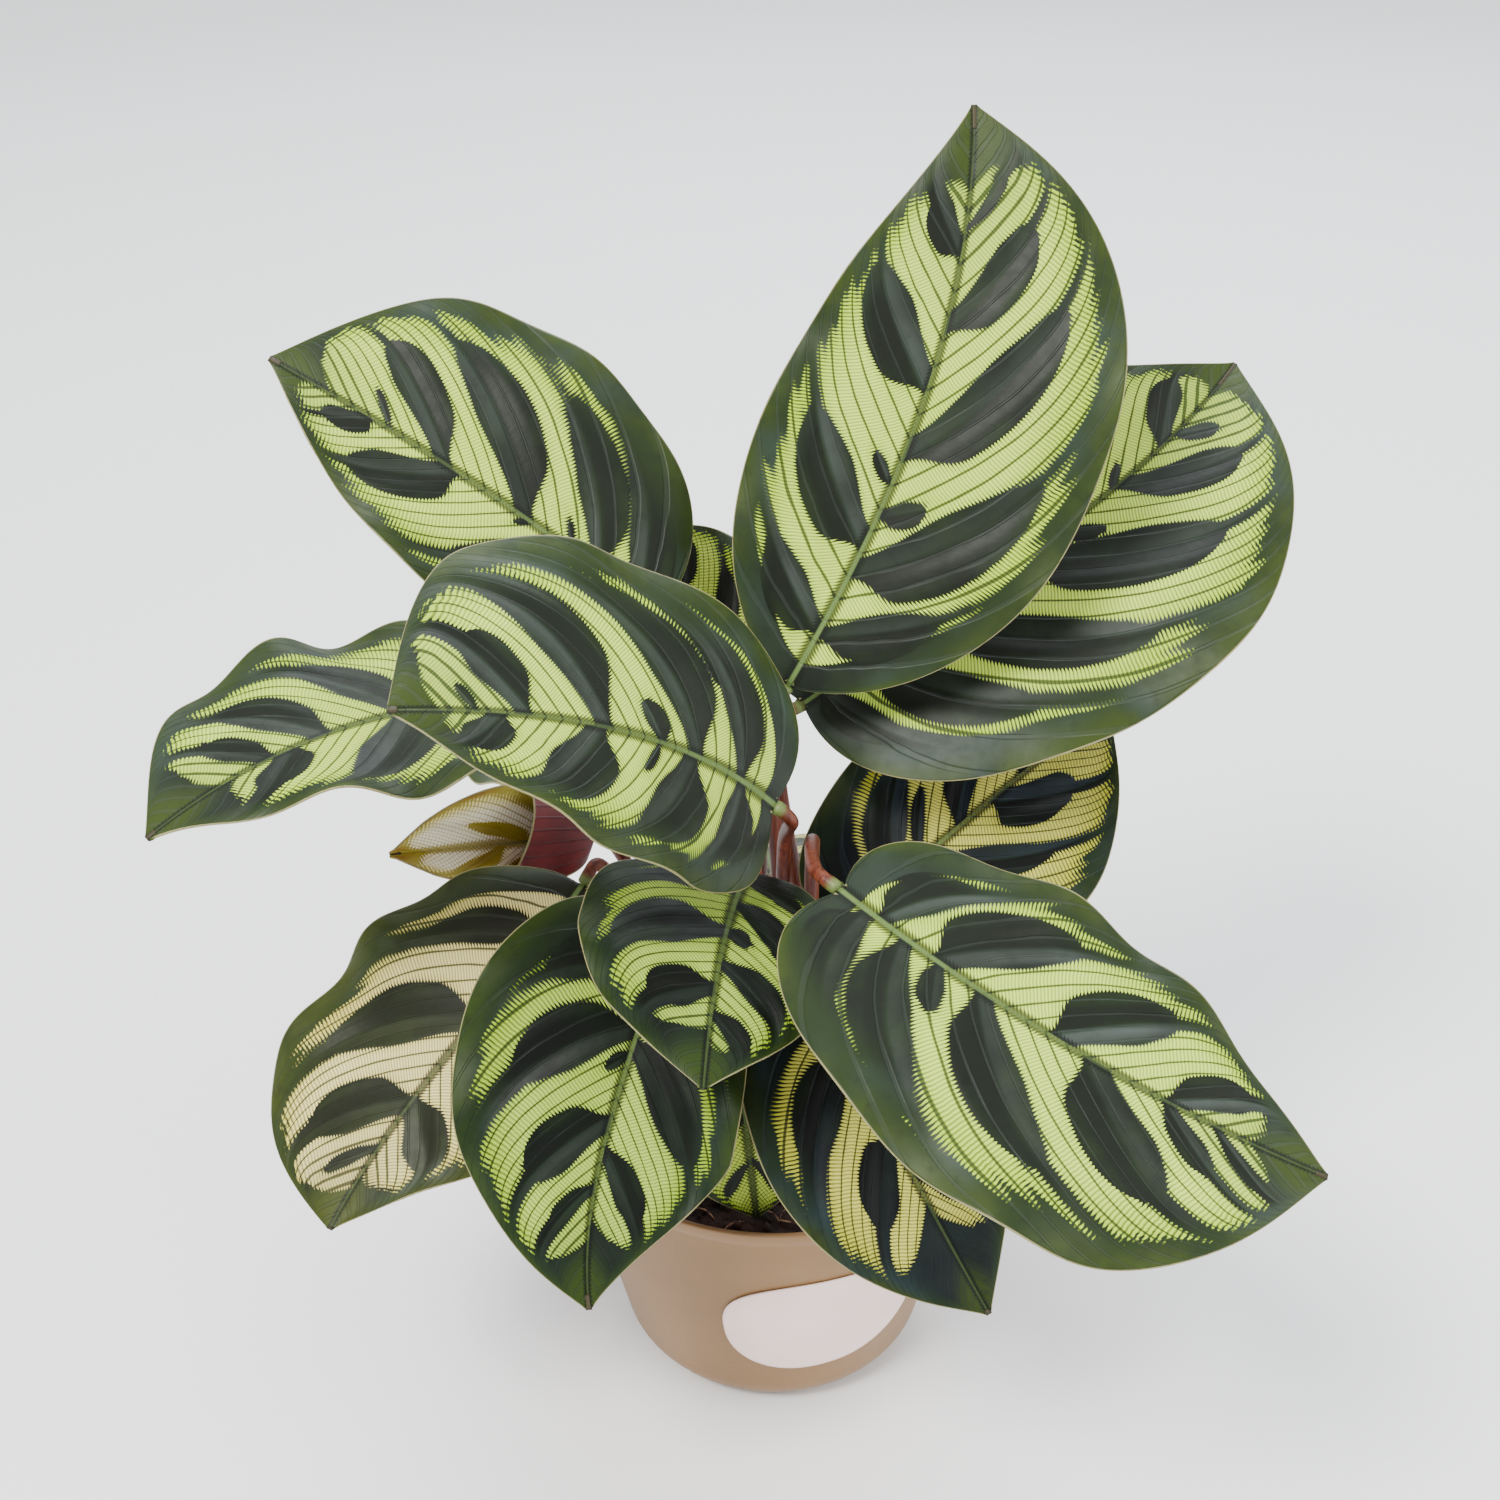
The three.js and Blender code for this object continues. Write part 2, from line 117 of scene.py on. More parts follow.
# The pale ground ends in fingers at the dark margin, and the dark shapes run softly together.  FAR
# is beyond all of them, in millimetres, and OUTSIDE marks points that are in a leaf's other half.
PALE_START = 0.04
PALE_REACH = 0.84
BASE_STRETCH = 0.08
TIP_STRETCH = 0.26
FINGER_LENGTH = 0.03
FINGER_VARIETY = 0.025
FINGER_WAVES = (41, 67)
BLEND = 0.35
BLEND_LIMIT = 60
FAR = 9.0
OUTSIDE = -99

# A dark oval swells from a stem at the midrib, lies along a sunken vein and may end in a strip.
STEM = 0.28
SWELL_END = 0.5
OVAL_POWER = 6
TAIL_START = 0.6
TAIL_SHIFT = 0.6
VEIN_SHIFT = 0.25
VALLEY_END = 1.2
VALLEY_HALF = 0.6
VALLEY_BREADTH = 0.06
LEE_FADE = 1.5

# The fine lines cross the lateral veins.
LADDER_STEPS = 12
LADDER_SPREAD = 1.3
LADDER_LEAST = 0.9
LADDER_PITCH = 0.74

# What a leaf has where its own entry says nothing else.  One number stands for two equal ones.
USUAL = dict(full=2.1, bow=(10, 8), sweep=0, fold=8, curl=-16, slant=1.44, shine=0.5, spread=0.5)

# Each leaf as in the solids: where its stalk leaves the soil and a place it may pass through, the
# midrib's neck and tip, the way the leaf faces, the width of its left and right half, where each
# is widest and how full beyond, how far its lobe reaches back, the midrib's bow and sweep, the
# fold and the curl in degrees, and the edge's wave.  Then its pattern: the slant of the veins in
# each half, the last vein that reaches pale ground, how bright the sheen is, from 0 to 1, and how
# far all the dark ground runs on, in millimetres.  Last come the dark ovals of each half, in
# thousandths: the vein in an oval's middle at the midrib and at its outer end, how far out that
# end is, half its breadth, and half the breadth of the strip that runs on into the margin.  Veins
# and breadths are shares of the midrib, and reaches are shares of the half's width.
LEAVES = [dict(
    name="tall", foot=(4, 6), neck=(3, 5, 207), tip=(47, 51, 340), face=(-0.1, -0.93, 0.36),
    width=(36, 46.5), peak=(0.36, 0.47), full=(2.2, 2.9), lobe=(-8, -13), bow=(5, 4),
    sweep=(11, 17), fold=(13.5, 11), curl=-14, wave=(2.6, 3.2, 0.1), slant=(1.19, 1.25),
    last=(0.87, 0.88), shine=(0.75, 0.4),
    left=[(110, 90, 720, 38, 12), (275, 235, 740, 62, 15), (378, 368, 200, 14, 0),
          (555, 500, 800, 75, 20), (775, 760, 550, 50, 30)],
    right=[(105, 78, 700, 34, 8), (225, 185, 770, 64, 12), (325, 285, 240, 22, 0),
           (440, 425, 680, 78, 14), (655, 645, 520, 66, 12), (805, 820, 400, 18, 16)],
), dict(
    name="right_back", foot=(13, 12), neck=(7, 20, 193), tip=(125, 83, 264),
    face=(-0.1, -0.75, 0.65), width=(44, 57), peak=(0.46, 0.52), full=(2.2, 2.3), lobe=(18, 10),
    bow=(8, 12), sweep=(5, 15), fold=(20, 22), wave=(3.6, 3.4, 0.04), slant=(1.38, 1.31),
    last=0.93, spread=0.9,
    left=[(120, 100, 650, 45, 10), (340, 310, 660, 65, 15), (560, 530, 620, 60, 15),
          (655, 650, 120, 10, 0), (785, 755, 640, 52, 15)],
    right=[(45, 45, 700, 22, 6), (140, 115, 740, 36, 10), (275, 220, 720, 46, 10),
           (460, 420, 630, 78, 14), (530, 520, 150, 20, 0), (675, 655, 540, 60, 12),
           (815, 785, 280, 22, 0)],
), dict(
    name="left_back", foot=(-9, 9), neck=(-31, 14, 222), tip=(-125, 33, 283),
    face=(0.1, -0.7, 0.7), width=(28, 45), peak=(0.42, 0.46), full=(1.9, 2.8), lobe=8, bow=(6, 4),
    sweep=2, wave=(2.4, 3.1, 0.7), last=(0.91, 0.85),
    left=[(100, 80, 700, 45, 10), (240, 200, 750, 70, 20), (345, 340, 100, 10, 0),
          (545, 505, 720, 93, 20), (755, 735, 450, 56, 10)],
    right=[(60, 50, 750, 40, 20), (165, 130, 760, 45, 8), (230, 225, 160, 8, 0),
           (360, 290, 730, 74, 15), (570, 510, 620, 74, 15), (700, 680, 200, 12, 0)],
), dict(
    name="left", foot=(-17, -3), neck=(-52, -8, 209), tip=(-138.5, -74, 211), face=(0.1, -0.15, 1),
    width=(32, 34.5), peak=(0.41, 0.35), full=(1.6, 4.5), lobe=(13, 4), bow=(12, 18),
    sweep=(4, 2.5), fold=(11, 5), curl=-10, wave=(3.9, 3.2, 0.26), slant=(1.3, 1),
    last=(0.82, 0.85), spread=1.5,
    left=[(140, 120, 700, 50, 10), (400, 330, 750, 80, 20), (680, 620, 550, 62, 30)],
    right=[(100, 80, 750, 35, 10), (400, 310, 680, 50, 20), (600, 500, 680, 50, 20),
           (725, 680, 460, 32, 10)],
), dict(
    name="front", foot=(2, -4), via=(2, -13, 170), neck=(-1, -40, 199), tip=(-80, -90, 252),
    face=(-0.2, -0.62, 0.75), width=(29, 47), peak=(0.32, 0.56), full=(2, 3), lobe=(26, 14),
    sweep=(8, 6), fold=6, curl=-22, wave=(2.2, 3.1, 0.3), slant=(1, 0.75), last=(0.89, 0.9),
    shine=(0.5, 0.6), spread=0.6,
    left=[(120, 90, 750, 40, 20), (285, 215, 820, 66, 20), (375, 365, 280, 10, 0),
          (545, 460, 830, 87, 40), (775, 745, 650, 62, 25)],
    right=[(130, 125, 800, 40, 30), (270, 235, 800, 62, 30), (370, 360, 200, 30, 0),
           (525, 410, 850, 70, 30), (715, 660, 500, 60, 30), (820, 810, 180, 12, 0)],
), dict(
    name="young", foot=(-16, 3), neck=(-52, 20, 152), tip=(-100, -6, 163), face=(-0.2, -0.8, 0.55),
    width=(14, 17), peak=0.4, lobe=2, bow=3, fold=20, curl=20, wave=(0.8, 2.2, 0.1),
    slant=(1.9, 2.5), last=(0.8, 0.84), spread=0,
    left=[(200, 160, 900, 100, 40), (440, 400, 900, 90, 40)],
    right=[(60, 70, 840, 55, 20), (320, 340, 420, 100, 0)],
), dict(
    name="low_left", foot=(-19, -9), neck=(-49, -20, 163), tip=(-109, -78, 101),
    face=(-0.35, -0.6, 0.75), width=(31.5, 42), peak=(0.49, 0.52), full=(1.5, 4.9), lobe=(12, 9),
    bow=(9, 0), sweep=(-6, 6.5), fold=(1, 7), curl=-18, wave=(3.3, 3.4, 0.63), slant=(1.15, 1.05),
    last=(0.87, 0.9), spread=1.2,
    left=[(120, 100, 650, 50, 20), (330, 300, 700, 60, 20), (660, 550, 750, 72, 30)],
    right=[(160, 140, 700, 36, 20), (420, 330, 720, 74, 30), (665, 590, 550, 68, 30),
           (785, 795, 300, 18, 0)],
), dict(
    name="low_middle", foot=(-12, -15), neck=(-27, -38, 162), tip=(-45, -95.5, 92),
    face=(-0.1, -0.85, 0.5), width=(30.5, 41), peak=(0.55, 0.41), full=(1.4, 1.9), lobe=(12, 23),
    bow=(14, 4), sweep=(-1, 9.5), fold=(9, 16), curl=-18, wave=(2.1, 3, 0.17), slant=(1.44, 1.19),
    last=(0.77, 0.83), spread=0.7,
    left=[(130, 110, 600, 40, 20), (320, 240, 760, 75, 20), (595, 550, 600, 65, 40)],
    right=[(120, 80, 700, 30, 8), (280, 200, 660, 62, 30), (345, 340, 120, 20, 0),
           (525, 450, 540, 80, 25), (690, 670, 400, 35, 30)],
), dict(
    name="small", foot=(-5, -12), neck=(-7, -28, 172), tip=(-17, -98, 161), face=(0, -0.35, 0.95),
    width=(28, 36), peak=(0.5, 0.32), lobe=10, sweep=2, fold=(0, 6), curl=-14, wave=(2, 3, 0.5),
    slant=(0.9, 0.2), last=(0.86, 0.81), spread=0.9,
    left=[(80, 100, 700, 40, 20), (240, 300, 700, 60, 10), (400, 380, 220, 30, 0),
          (545, 500, 780, 62, 30), (745, 730, 650, 45, 40)],
    right=[(170, 100, 700, 50, 30), (400, 320, 780, 88, 50), (655, 610, 570, 72, 40)],
), dict(
    name="low_right", foot=(9, -9), via=(9, -19, 174), neck=(14, -58, 187), tip=(119, -112, 148),
    face=(0.15, -0.5, 0.85), width=(33, 45), peak=(0.4, 0.55), full=(2.1, 2.2), lobe=20, sweep=11,
    wave=(3, 3.3, 0.2), slant=(1.44, 1.38), last=0.86, shine=(1, 0.35), spread=0.9,
    left=[(100, 95, 730, 32, 12), (235, 200, 720, 63, 12), (485, 400, 700, 72, 20),
          (710, 690, 650, 62, 30)],
    right=[(70, 45, 820, 28, 6), (160, 110, 840, 36, 10), (235, 200, 300, 18, 0),
           (330, 255, 670, 54, 15), (560, 450, 600, 80, 30), (700, 665, 360, 35, 12),
           (790, 775, 500, 22, 20)],
), dict(
    name="under_right", foot=(8, -19), neck=(8, -40, 150), tip=(52, -85, 80),
    face=(0.2, -0.8, 0.6), width=(27, 32), peak=0.42, lobe=11, bow=(6, 4), sweep=2, curl=-14,
    wave=(1.4, 3, 0.2), last=(0.7, 0.66),
    left=[(120, 100, 650, 60, 20), (360, 320, 600, 80, 20), (580, 550, 500, 40, 20)],
    right=[(90, 60, 700, 30, 20), (240, 170, 720, 60, 40), (480, 420, 520, 85, 30)],
), dict(
    name="right", foot=(18, -2), neck=(19, -4, 140), tip=(92, 44, 180), face=(0.1, -0.6, 0.8),
    width=(33, 38), peak=0.45, lobe=(20, 16), bow=(6, 4), curl=-14, wave=(1.6, 3, 0.4),
    last=(0.86, 0.9), shine=1,
    left=[(70, 50, 800, 45, 20), (200, 150, 750, 50, 20), (270, 250, 450, 20, 0),
          (420, 380, 700, 70, 20), (660, 620, 500, 60, 20)],
    right=[(100, 80, 700, 50, 20), (280, 270, 600, 60, 20), (560, 500, 450, 120, 30)],
), dict(
    name="back_centre", foot=(-4, 15), neck=(-9, 36, 193), tip=(-36, 62, 224),
    face=(0.1, -0.75, 0.65), width=(20, 20), peak=0.6, lobe=5, bow=4, curl=-12, wave=(1, 3, 0.4),
    last=0.88,
    left=[(200, 180, 650, 70, 20), (500, 460, 600, 80, 20)],
    right=[(260, 220, 650, 70, 20), (580, 540, 600, 80, 20)],
), dict(
    name="rim", foot=(0, -24), neck=(-9, -33, 112), tip=(-5, -50, 79), face=(0, -0.85, 0.5),
    width=(16, 18), peak=0.45, lobe=4, bow=(4, 3), fold=10, curl=-10, wave=(0.8, 2.2, 0.4),
    last=0.95,
    left=[(240, 200, 750, 70, 20), (560, 500, 850, 70, 30)],
    right=[(260, 200, 750, 80, 30), (580, 500, 700, 60, 20)],
), dict(
    name="back_left", foot=(-14, 16), neck=(-34, 40, 150), tip=(-88, 112, 130),
    face=(-0.3, 0.45, 0.85), width=(31, 33), peak=0.44, full=2.3, lobe=13, wave=(2, 3, 0.4),
    last=0.88,
    left=[(100, 80, 700, 35, 10), (240, 190, 740, 60, 15), (340, 330, 200, 16, 0),
          (480, 430, 700, 78, 20), (700, 670, 500, 58, 20)],
    right=[(80, 70, 700, 30, 10), (200, 150, 750, 50, 12), (380, 310, 720, 66, 20),
           (580, 520, 620, 70, 15), (760, 740, 350, 30, 10)],
), dict(
    name="back_low", foot=(1, 23), neck=(0, 46, 122), tip=(-8, 122, 84), face=(0, 0.5, 0.85),
    width=(29, 31), peak=0.44, full=2.3, lobe=12, bow=(9, 7), wave=(1.8, 3, 0.1), last=0.87,
    left=[(150, 120, 720, 46, 15), (360, 300, 740, 72, 20), (600, 550, 620, 72, 20),
          (770, 760, 300, 25, 10)],
    right=[(100, 80, 700, 36, 10), (270, 220, 740, 60, 15), (500, 440, 700, 78, 20),
           (710, 670, 500, 55, 20)],
), dict(
    name="back_right", foot=(14, 19), neck=(34, 44, 146), tip=(92, 104, 108),
    face=(0.35, 0.4, 0.85), width=(31, 32), peak=0.44, full=2.3, lobe=13, wave=(2, 3, 0.7),
    last=0.88,
    left=[(80, 70, 700, 30, 10), (220, 170, 740, 56, 12), (420, 360, 720, 70, 20),
          (640, 600, 600, 66, 20)],
    right=[(120, 100, 720, 36, 10), (280, 230, 740, 62, 15), (380, 370, 200, 16, 0),
           (520, 460, 700, 76, 20), (720, 700, 480, 50, 15)],
)]


# -------------------- materials
def colour(red, green, blue):
    """A screen colour of 0 to 255 as the shader's own linear one."""
    share = [value / 255 for value in (red, green, blue)]
    return tuple(v / 12.92 if v < 0.04045 else ((v + 0.055) / 1.055) ** 2.4 for v in share) + (1,)


class Field:
    """A socket that takes part in Python expressions, each adding its own Math node."""

    def __init__(self, finish, socket):
        self.finish = finish
        self.socket = socket

    def math(self, operation, *others):
        return self.finish.add("ShaderNodeMath", {"operation": operation}, (self, *others))

    def __add__(self, other):
        return self.math("ADD", other)

    __radd__ = __add__

    def __sub__(self, other):
        return self.math("SUBTRACT", other)

    def __rsub__(self, other):
        return self.finish.add("ShaderNodeMath", {"operation": "SUBTRACT"}, (other, self))

    def __mul__(self, other):
        return self.math("MULTIPLY", other)

    __rmul__ = __mul__

    def __truediv__(self, other):
        return self.math("DIVIDE", other)

    def __rtruediv__(self, other):
        return self.finish.add("ShaderNodeMath", {"operation": "DIVIDE"}, (other, self))

    def __abs__(self):
        return self.math("ABSOLUTE")

    def larger(self, other):
        return self.math("MAXIMUM", other)

    def rise(self, start, end):
        """0 below start and 1 above end, with a soft step between."""
        settings = {"interpolation_type": "SMOOTHSTEP"}
        return self.finish.add("ShaderNodeMapRange", settings, (self, start, end, 0.0, 1.0))

    def fall(self, start, end):
        return 1 - self.rise(start, end)

    def line(self, half, soft):
        """1 where the value passes through a whole number, in a line of that half width."""
        off = abs(self.math("FRACT") - 0.5)
        return off.rise(0.5 - half - soft, 0.5 - half)


class Finish:
    """One material: a Principled shader whose even values are set on its own sockets."""

    def __init__(self, name, **even):
        self.material = bpy.data.materials.new(name)
        self.material.use_nodes = True
        self.tree = self.material.node_tree
        self.shader = self.tree.nodes["Principled BSDF"]
        for socket, value in even.items():
            self.shader.inputs[socket.replace("_", " ")].default_value = value
        self.place = self.add("ShaderNodeTexCoord", {}, {}, "Object")

    def add(self, kind, settings, inputs, output=0):
        node = self.tree.nodes.new(kind)
        for name, value in settings.items():
            setattr(node, name, value)
        entries = inputs.items() if isinstance(inputs, dict) else enumerate(inputs)
        for key, value in entries:
            if isinstance(value, Field):
                self.tree.links.new(value.socket, node.inputs[key])
            else:
                node.inputs[key].default_value = value
        return Field(self, node.outputs[output])

    def attributes(self, *names):
        return [
            self.add("ShaderNodeAttribute", {"attribute_name": name}, {}, "Fac") for name in names
        ]

    def noise(self, scale, detail=3.0, rough=0.55, place=None):
        inputs = {
            "Vector": place or self.place, "Scale": scale, "Detail": detail, "Roughness": rough,
        }
        return self.add("ShaderNodeTexNoise", {}, inputs, "Fac")

    def streaks(self, scales, detail):
        """Noise with a scale of its own along each axis."""
        drawn_out = self.add("ShaderNodeMapping", {}, {"Vector": self.place, "Scale": scales})
        return self.noise(1.0, detail, place=drawn_out)

    def mix(self, factor, first, second):
        """Mixes two colours, each a field or a screen colour."""
        first, second = (colour(*c) if isinstance(c, tuple) else c for c in (first, second))
        inputs = {0: factor, 6: first, 7: second}
        return self.add("ShaderNodeMix", {"data_type": "RGBA"}, inputs, 2)

    def feed(self, **links):
        for socket, value in links.items():
            self.tree.links.new(value.socket, self.shader.inputs[socket.replace("_", " ")])

    def relief(self, height, depth, strength=1.0):
        inputs = {"Strength": strength, "Distance": depth * MM, "Height": height}
        self.feed(Normal=self.add("ShaderNodeBump", {}, inputs, "Normal"))


MIDRIB_GREEN = (92, 115, 60)
EDGE_CREAM = (150, 144, 100)


def blade_finish(
    name, gloss, pale, pale_outer, rung, rung_outer, oval, sheen, slate_and_highlight, margin, olive
):
    """The upper side: a pale ground ruled with fine lines, dark ovals and a dark margin."""
    leaf = Finish(name, Specular_IOR_Level=gloss)
    vein, ladder, depth, lee, reach, rib, edge, shine = leaf.attributes(
        "vein", "ladder", "dark", "lee", "reach", "rib", "edge", "shine"
    )
    cloud = leaf.noise(30.0, 2.0)
    patch = leaf.noise(62.0, 3.0)
    mottle = leaf.noise(260.0, 3.0)
    along_veins = leaf.add("ShaderNodeCombineXYZ", {}, (vein * 26.0, reach * 2.5, 0.0))
    sway = leaf.noise(1.0, 2.0, place=along_veins)

    # The veins, the fine lines, and how the dark ground frays into them.
    outer = reach.rise(0.5, 0.84)
    broad = 0.03 + vein.rise(0.6, 0.95) * 0.09 + outer * 0.02
    lines = (vein * VEINS + (sway - 0.5) * 0.4).line(broad, 0.06)
    wave = ((ladder + sway * 0.8) * (2 * math.pi / LADDER_PITCH)).math("SINE")
    brink = depth.rise(-2.4, 0.1)
    comb = wave * (0.42 + outer * 0.45) + (mottle - 0.5) * (0.5 + outer * 1.4)
    dark = ((depth + comb) / (0.24 + outer * 0.4)).rise(-1.0, 1.0)

    # The pale ground with its lines, greener towards the margin and the tip.
    ground = leaf.mix(outer * 0.85 + depth.rise(-3.0, -0.2) * 0.25, pale, pale_outer)
    ground = leaf.mix(patch.rise(0.5, 0.75) * 0.3, ground, pale_outer)
    ground = leaf.mix(vein.rise(0.58, 0.9) * 0.4, ground, rung)
    groove = leaf.mix(outer, rung, rung_outer)
    depth_of_rung = 0.6 + brink * 0.28 + outer * 0.12
    ground = leaf.mix(wave.rise(-0.25, 0.75) * depth_of_rung, ground, groove)
    ground = leaf.mix(lines * 0.88, ground, rung_outer)

    # The dark ground: ovals with a sheen on one side of their vein, slate and olive in the margin.
    # Painted sheen: a lighter band on the tip side of each oval's vein, its strength set by shine.
    lit = shine * (0.4 + cloud.rise(0.38, 0.62) * 0.6)
    glow = lee.rise(-0.04, 0.1) * lee.fall(0.15, 1.0) * lit
    shade = leaf.mix(patch.rise(0.35, 0.7) * 0.6, oval, margin)
    # Painted shade: the base side of each oval, between vein and edge, is darkened.
    shade = leaf.mix(lee.fall(-0.3, 0.06) * lee.rise(-1.0, -0.7) * 0.8, shade, oval)
    shade = leaf.mix(glow, shade, sheen)
    # Painted highlight: a thin lighter line along each oval's sunken vein.
    shade = leaf.mix(abs(lee).fall(0.02, 0.12) * depth.rise(0.2, 1.0) * lit * 0.6, shade, slate_and_highlight)
    rim = leaf.mix(cloud.rise(0.46, 0.66), margin, slate_and_highlight)
    tips = vein.rise(0.7, 0.95).larger(reach.rise(0.8, 1.0) * patch.rise(0.3, 0.6))
    rim = leaf.mix(tips, rim, olive)
    shade = leaf.mix(reach.rise(0.6, 0.86).larger(vein.rise(0.78, 0.9)), shade, rim)
    shade = leaf.mix(mottle.rise(0.5, 0.8) * 0.3, shade, oval)
    shade = leaf.mix(lines * 0.2, shade, sheen)

    # The midrib in its dark channel, and the pale edge.
    skin = leaf.mix(dark, ground, shade)
    channel = rib / (1.5 - vein * 0.95)
    core = channel.fall(0.25, 0.65) * (0.25 + vein.fall(0.1, 0.55) * 0.75)
    skin = leaf.mix((channel - wave * 0.3).fall(1.0, 2.0) * 0.85, skin, oval)
    skin = leaf.mix(core, skin, MIDRIB_GREEN)
    skin = leaf.mix(edge.fall(0.12, 0.36) * rib.rise(0.8, 1.8) * 0.85, skin, EDGE_CREAM)
    leaf.feed(Base_Color=skin, Roughness=0.4 + mottle * 0.16 + (1 - dark) * 0.08)
    leaf.relief(mottle * 0.35 - lines * 0.6 - wave * 0.2 * (1 - dark), 0.25)
    return leaf.material


def underside_finish():
    under = Finish("maroon_underside", Specular_IOR_Level=0.3)
    vein, rib, depth, edge = under.attributes("vein", "rib", "dark", "edge")
    mottle = under.noise(120.0, 4.0)
    lines = (vein * VEINS).line(0.05, 0.08)
    skin = under.mix(mottle.rise(0.3, 0.75), (78, 15, 17), (106, 32, 33))
    skin = under.mix(depth.rise(-0.5, 0.6) * 0.6, skin, (66, 20, 34))
    skin = under.mix(lines * 0.55, skin, (70, 34, 36))
    keel = under.mix(vein.rise(0.5, 0.85), (122, 80, 58), (54, 56, 32))
    skin = under.mix(rib.fall(0.7, 1.4) * 0.85, skin, keel)
    skin = under.mix(vein.fall(0.01, 0.04) * rib.fall(1.6, 3.0), skin, (90, 98, 52))
    skin = under.mix(edge.fall(0.12, 0.36) * rib.rise(0.8, 1.8), skin, EDGE_CREAM)
    under.feed(Base_Color=skin, Roughness=0.42 + mottle * 0.2)
    under.relief(mottle * 0.3 + lines * 0.8, 0.25)
    return under.material


def stalk_finish():
    stalk = Finish("leaf_stalk", Specular_IOR_Level=0.35)
    (along,) = stalk.attributes("along")
    streak = stalk.streaks((900.0, 900.0, 60.0), 3.0)
    skin = stalk.mix(streak.rise(0.3, 0.7), (72, 22, 13), (112, 54, 32))
    skin = stalk.mix(along.fall(0.05, 0.45) * 0.75, skin, (94, 104, 54))
    skin = stalk.mix(along.rise(0.86, 0.95), skin, (96, 112, 58))
    stalk.feed(Base_Color=skin, Roughness=0.36 + streak * 0.2)
    stalk.relief(streak, 0.2)
    return stalk.material


def pot_finish():
    pot = Finish("satin_taupe_plastic", Roughness=0.42, Specular_IOR_Level=0.45)
    grain = pot.noise(900.0, 3.0)
    cloud = pot.noise(22.0, 2.0)
    scuff = pot.streaks((60.0, 60.0, 900.0), 4.0)
    skin = pot.mix(cloud.rise(0.3, 0.7), (120, 88, 49), (130, 97, 57))
    skin = pot.mix(scuff.rise(0.62, 0.8) * 0.25, skin, (152, 116, 78))
    pot.feed(Base_Color=skin, Roughness=0.36 + grain * 0.12 + scuff.rise(0.55, 0.8) * 0.1)
    pot.relief(grain + scuff * 0.4, 0.05)
    return pot.material


def label_finish():
    label = Finish("pale_label", Roughness=0.5, Coat_Weight=0.15)
    fibre = label.noise(1400.0, 4.0)
    cloud = label.noise(40.0, 2.0)
    skin = label.mix(cloud.rise(0.3, 0.7), (234, 206, 198), (240, 216, 209))
    label.feed(Base_Color=skin, Roughness=0.42 + fibre * 0.2)
    label.relief(fibre, 0.03)
    return label.material


def peat_finish():
    peat = Finish("dark_peat", Roughness=0.95)
    clod = peat.noise(160.0, 6.0, 0.7)
    fleck = peat.noise(650.0, 3.0)
    skin = peat.mix(clod.rise(0.35, 0.7), (24, 15, 12), (66, 44, 33))
    skin = peat.mix(fleck.rise(0.62, 0.74) * 0.6, skin, (104, 76, 54))
    peat.feed(Base_Color=skin, Roughness=0.8 + fleck * 0.2)
    peat.relief(clod + fleck * 0.5, 1.0)
    return peat.material


def fibre_finish():
    fibre = Finish("peat_fibre", Roughness=0.8)
    grain = fibre.noise(500.0, 3.0)
    skin = fibre.mix(grain.rise(0.3, 0.7), (70, 34, 24), (176, 140, 104))
    fibre.feed(Base_Color=skin, Roughness=0.65 + grain * 0.25)
    fibre.relief(grain, 0.1)
    return fibre.material


def floor_finish():
    floor = Finish("pale_floor", Roughness=0.7)
    grain = floor.noise(3.0, 2.0)
    floor.feed(Base_Color=floor.mix(grain, (246, 246, 246), (250, 250, 249)))
    return floor.material


FULL = blade_finish(
    "full_leaf", 0.22, (196, 224, 82), (168, 200, 38), (100, 124, 38), (28, 45, 6), (7, 14, 2),
    (58, 66, 60), (40, 54, 42), (27, 42, 12), (46, 60, 10),
)
# Painted shade: the full leaf's colours darkened, for the leaves that lie in the others' shade.
SHADE_DARKENED = blade_finish(
    "shade_darkened_leaf", 0.14, (164, 192, 72), (138, 168, 30), (78, 100, 28), (20, 34, 4), (2, 6, 1),
    (36, 46, 38), (28, 42, 32), (18, 34, 10), (38, 54, 10),
)
ROSY = blade_finish(
    "rosy_leaf", 0.2, (228, 216, 142), (200, 190, 92), (104, 94, 50), (40, 44, 8), (16, 20, 1),
    (52, 56, 38), (48, 58, 38), (38, 50, 10), (54, 62, 8),
)
SHADED = blade_finish(
    "shaded_leaf", 0.16, (190, 190, 84), (166, 168, 46), (72, 74, 12), (20, 26, 2), (1, 4, 2),
    (24, 34, 40), (30, 44, 46), (16, 32, 14), (38, 50, 8),
)
# Partly painted light: the young leaf's own cream and olive, brightened for the light through it.
YOUNG = blade_finish(
    "young_leaf", 0.22, (255, 254, 232), (246, 238, 160), (238, 226, 168), (184, 166, 84),
    (160, 144, 40), (190, 174, 90), (200, 190, 110), (180, 170, 72), (138, 98, 34),
)
BLADE_FINISHES = {
    "low_left": ROSY, "back_low": ROSY, "under_right": SHADED, "right": SHADED, "young": YOUNG,
    "low_middle": SHADE_DARKENED, "small": SHADE_DARKENED,
}
UNDERSIDE = underside_finish()
STALK = stalk_finish()
PLASTIC = pot_finish()
PAPER = label_finish()
PEAT = peat_finish()
FIBRE = fibre_finish()


# -------------------- helpers for pieces
def unit(vectors):
    return vectors / np.linalg.norm(vectors, axis=-1, keepdims=True)


def square_to(direction, along):
    return unit(direction - along * np.sum(direction * along, -1, keepdims=True))


def points_of(piece):
    flat = np.empty(len(piece.data.vertices) * 3)
    piece.data.vertices.foreach_get("co", flat)
    return flat.reshape(-1, 3)


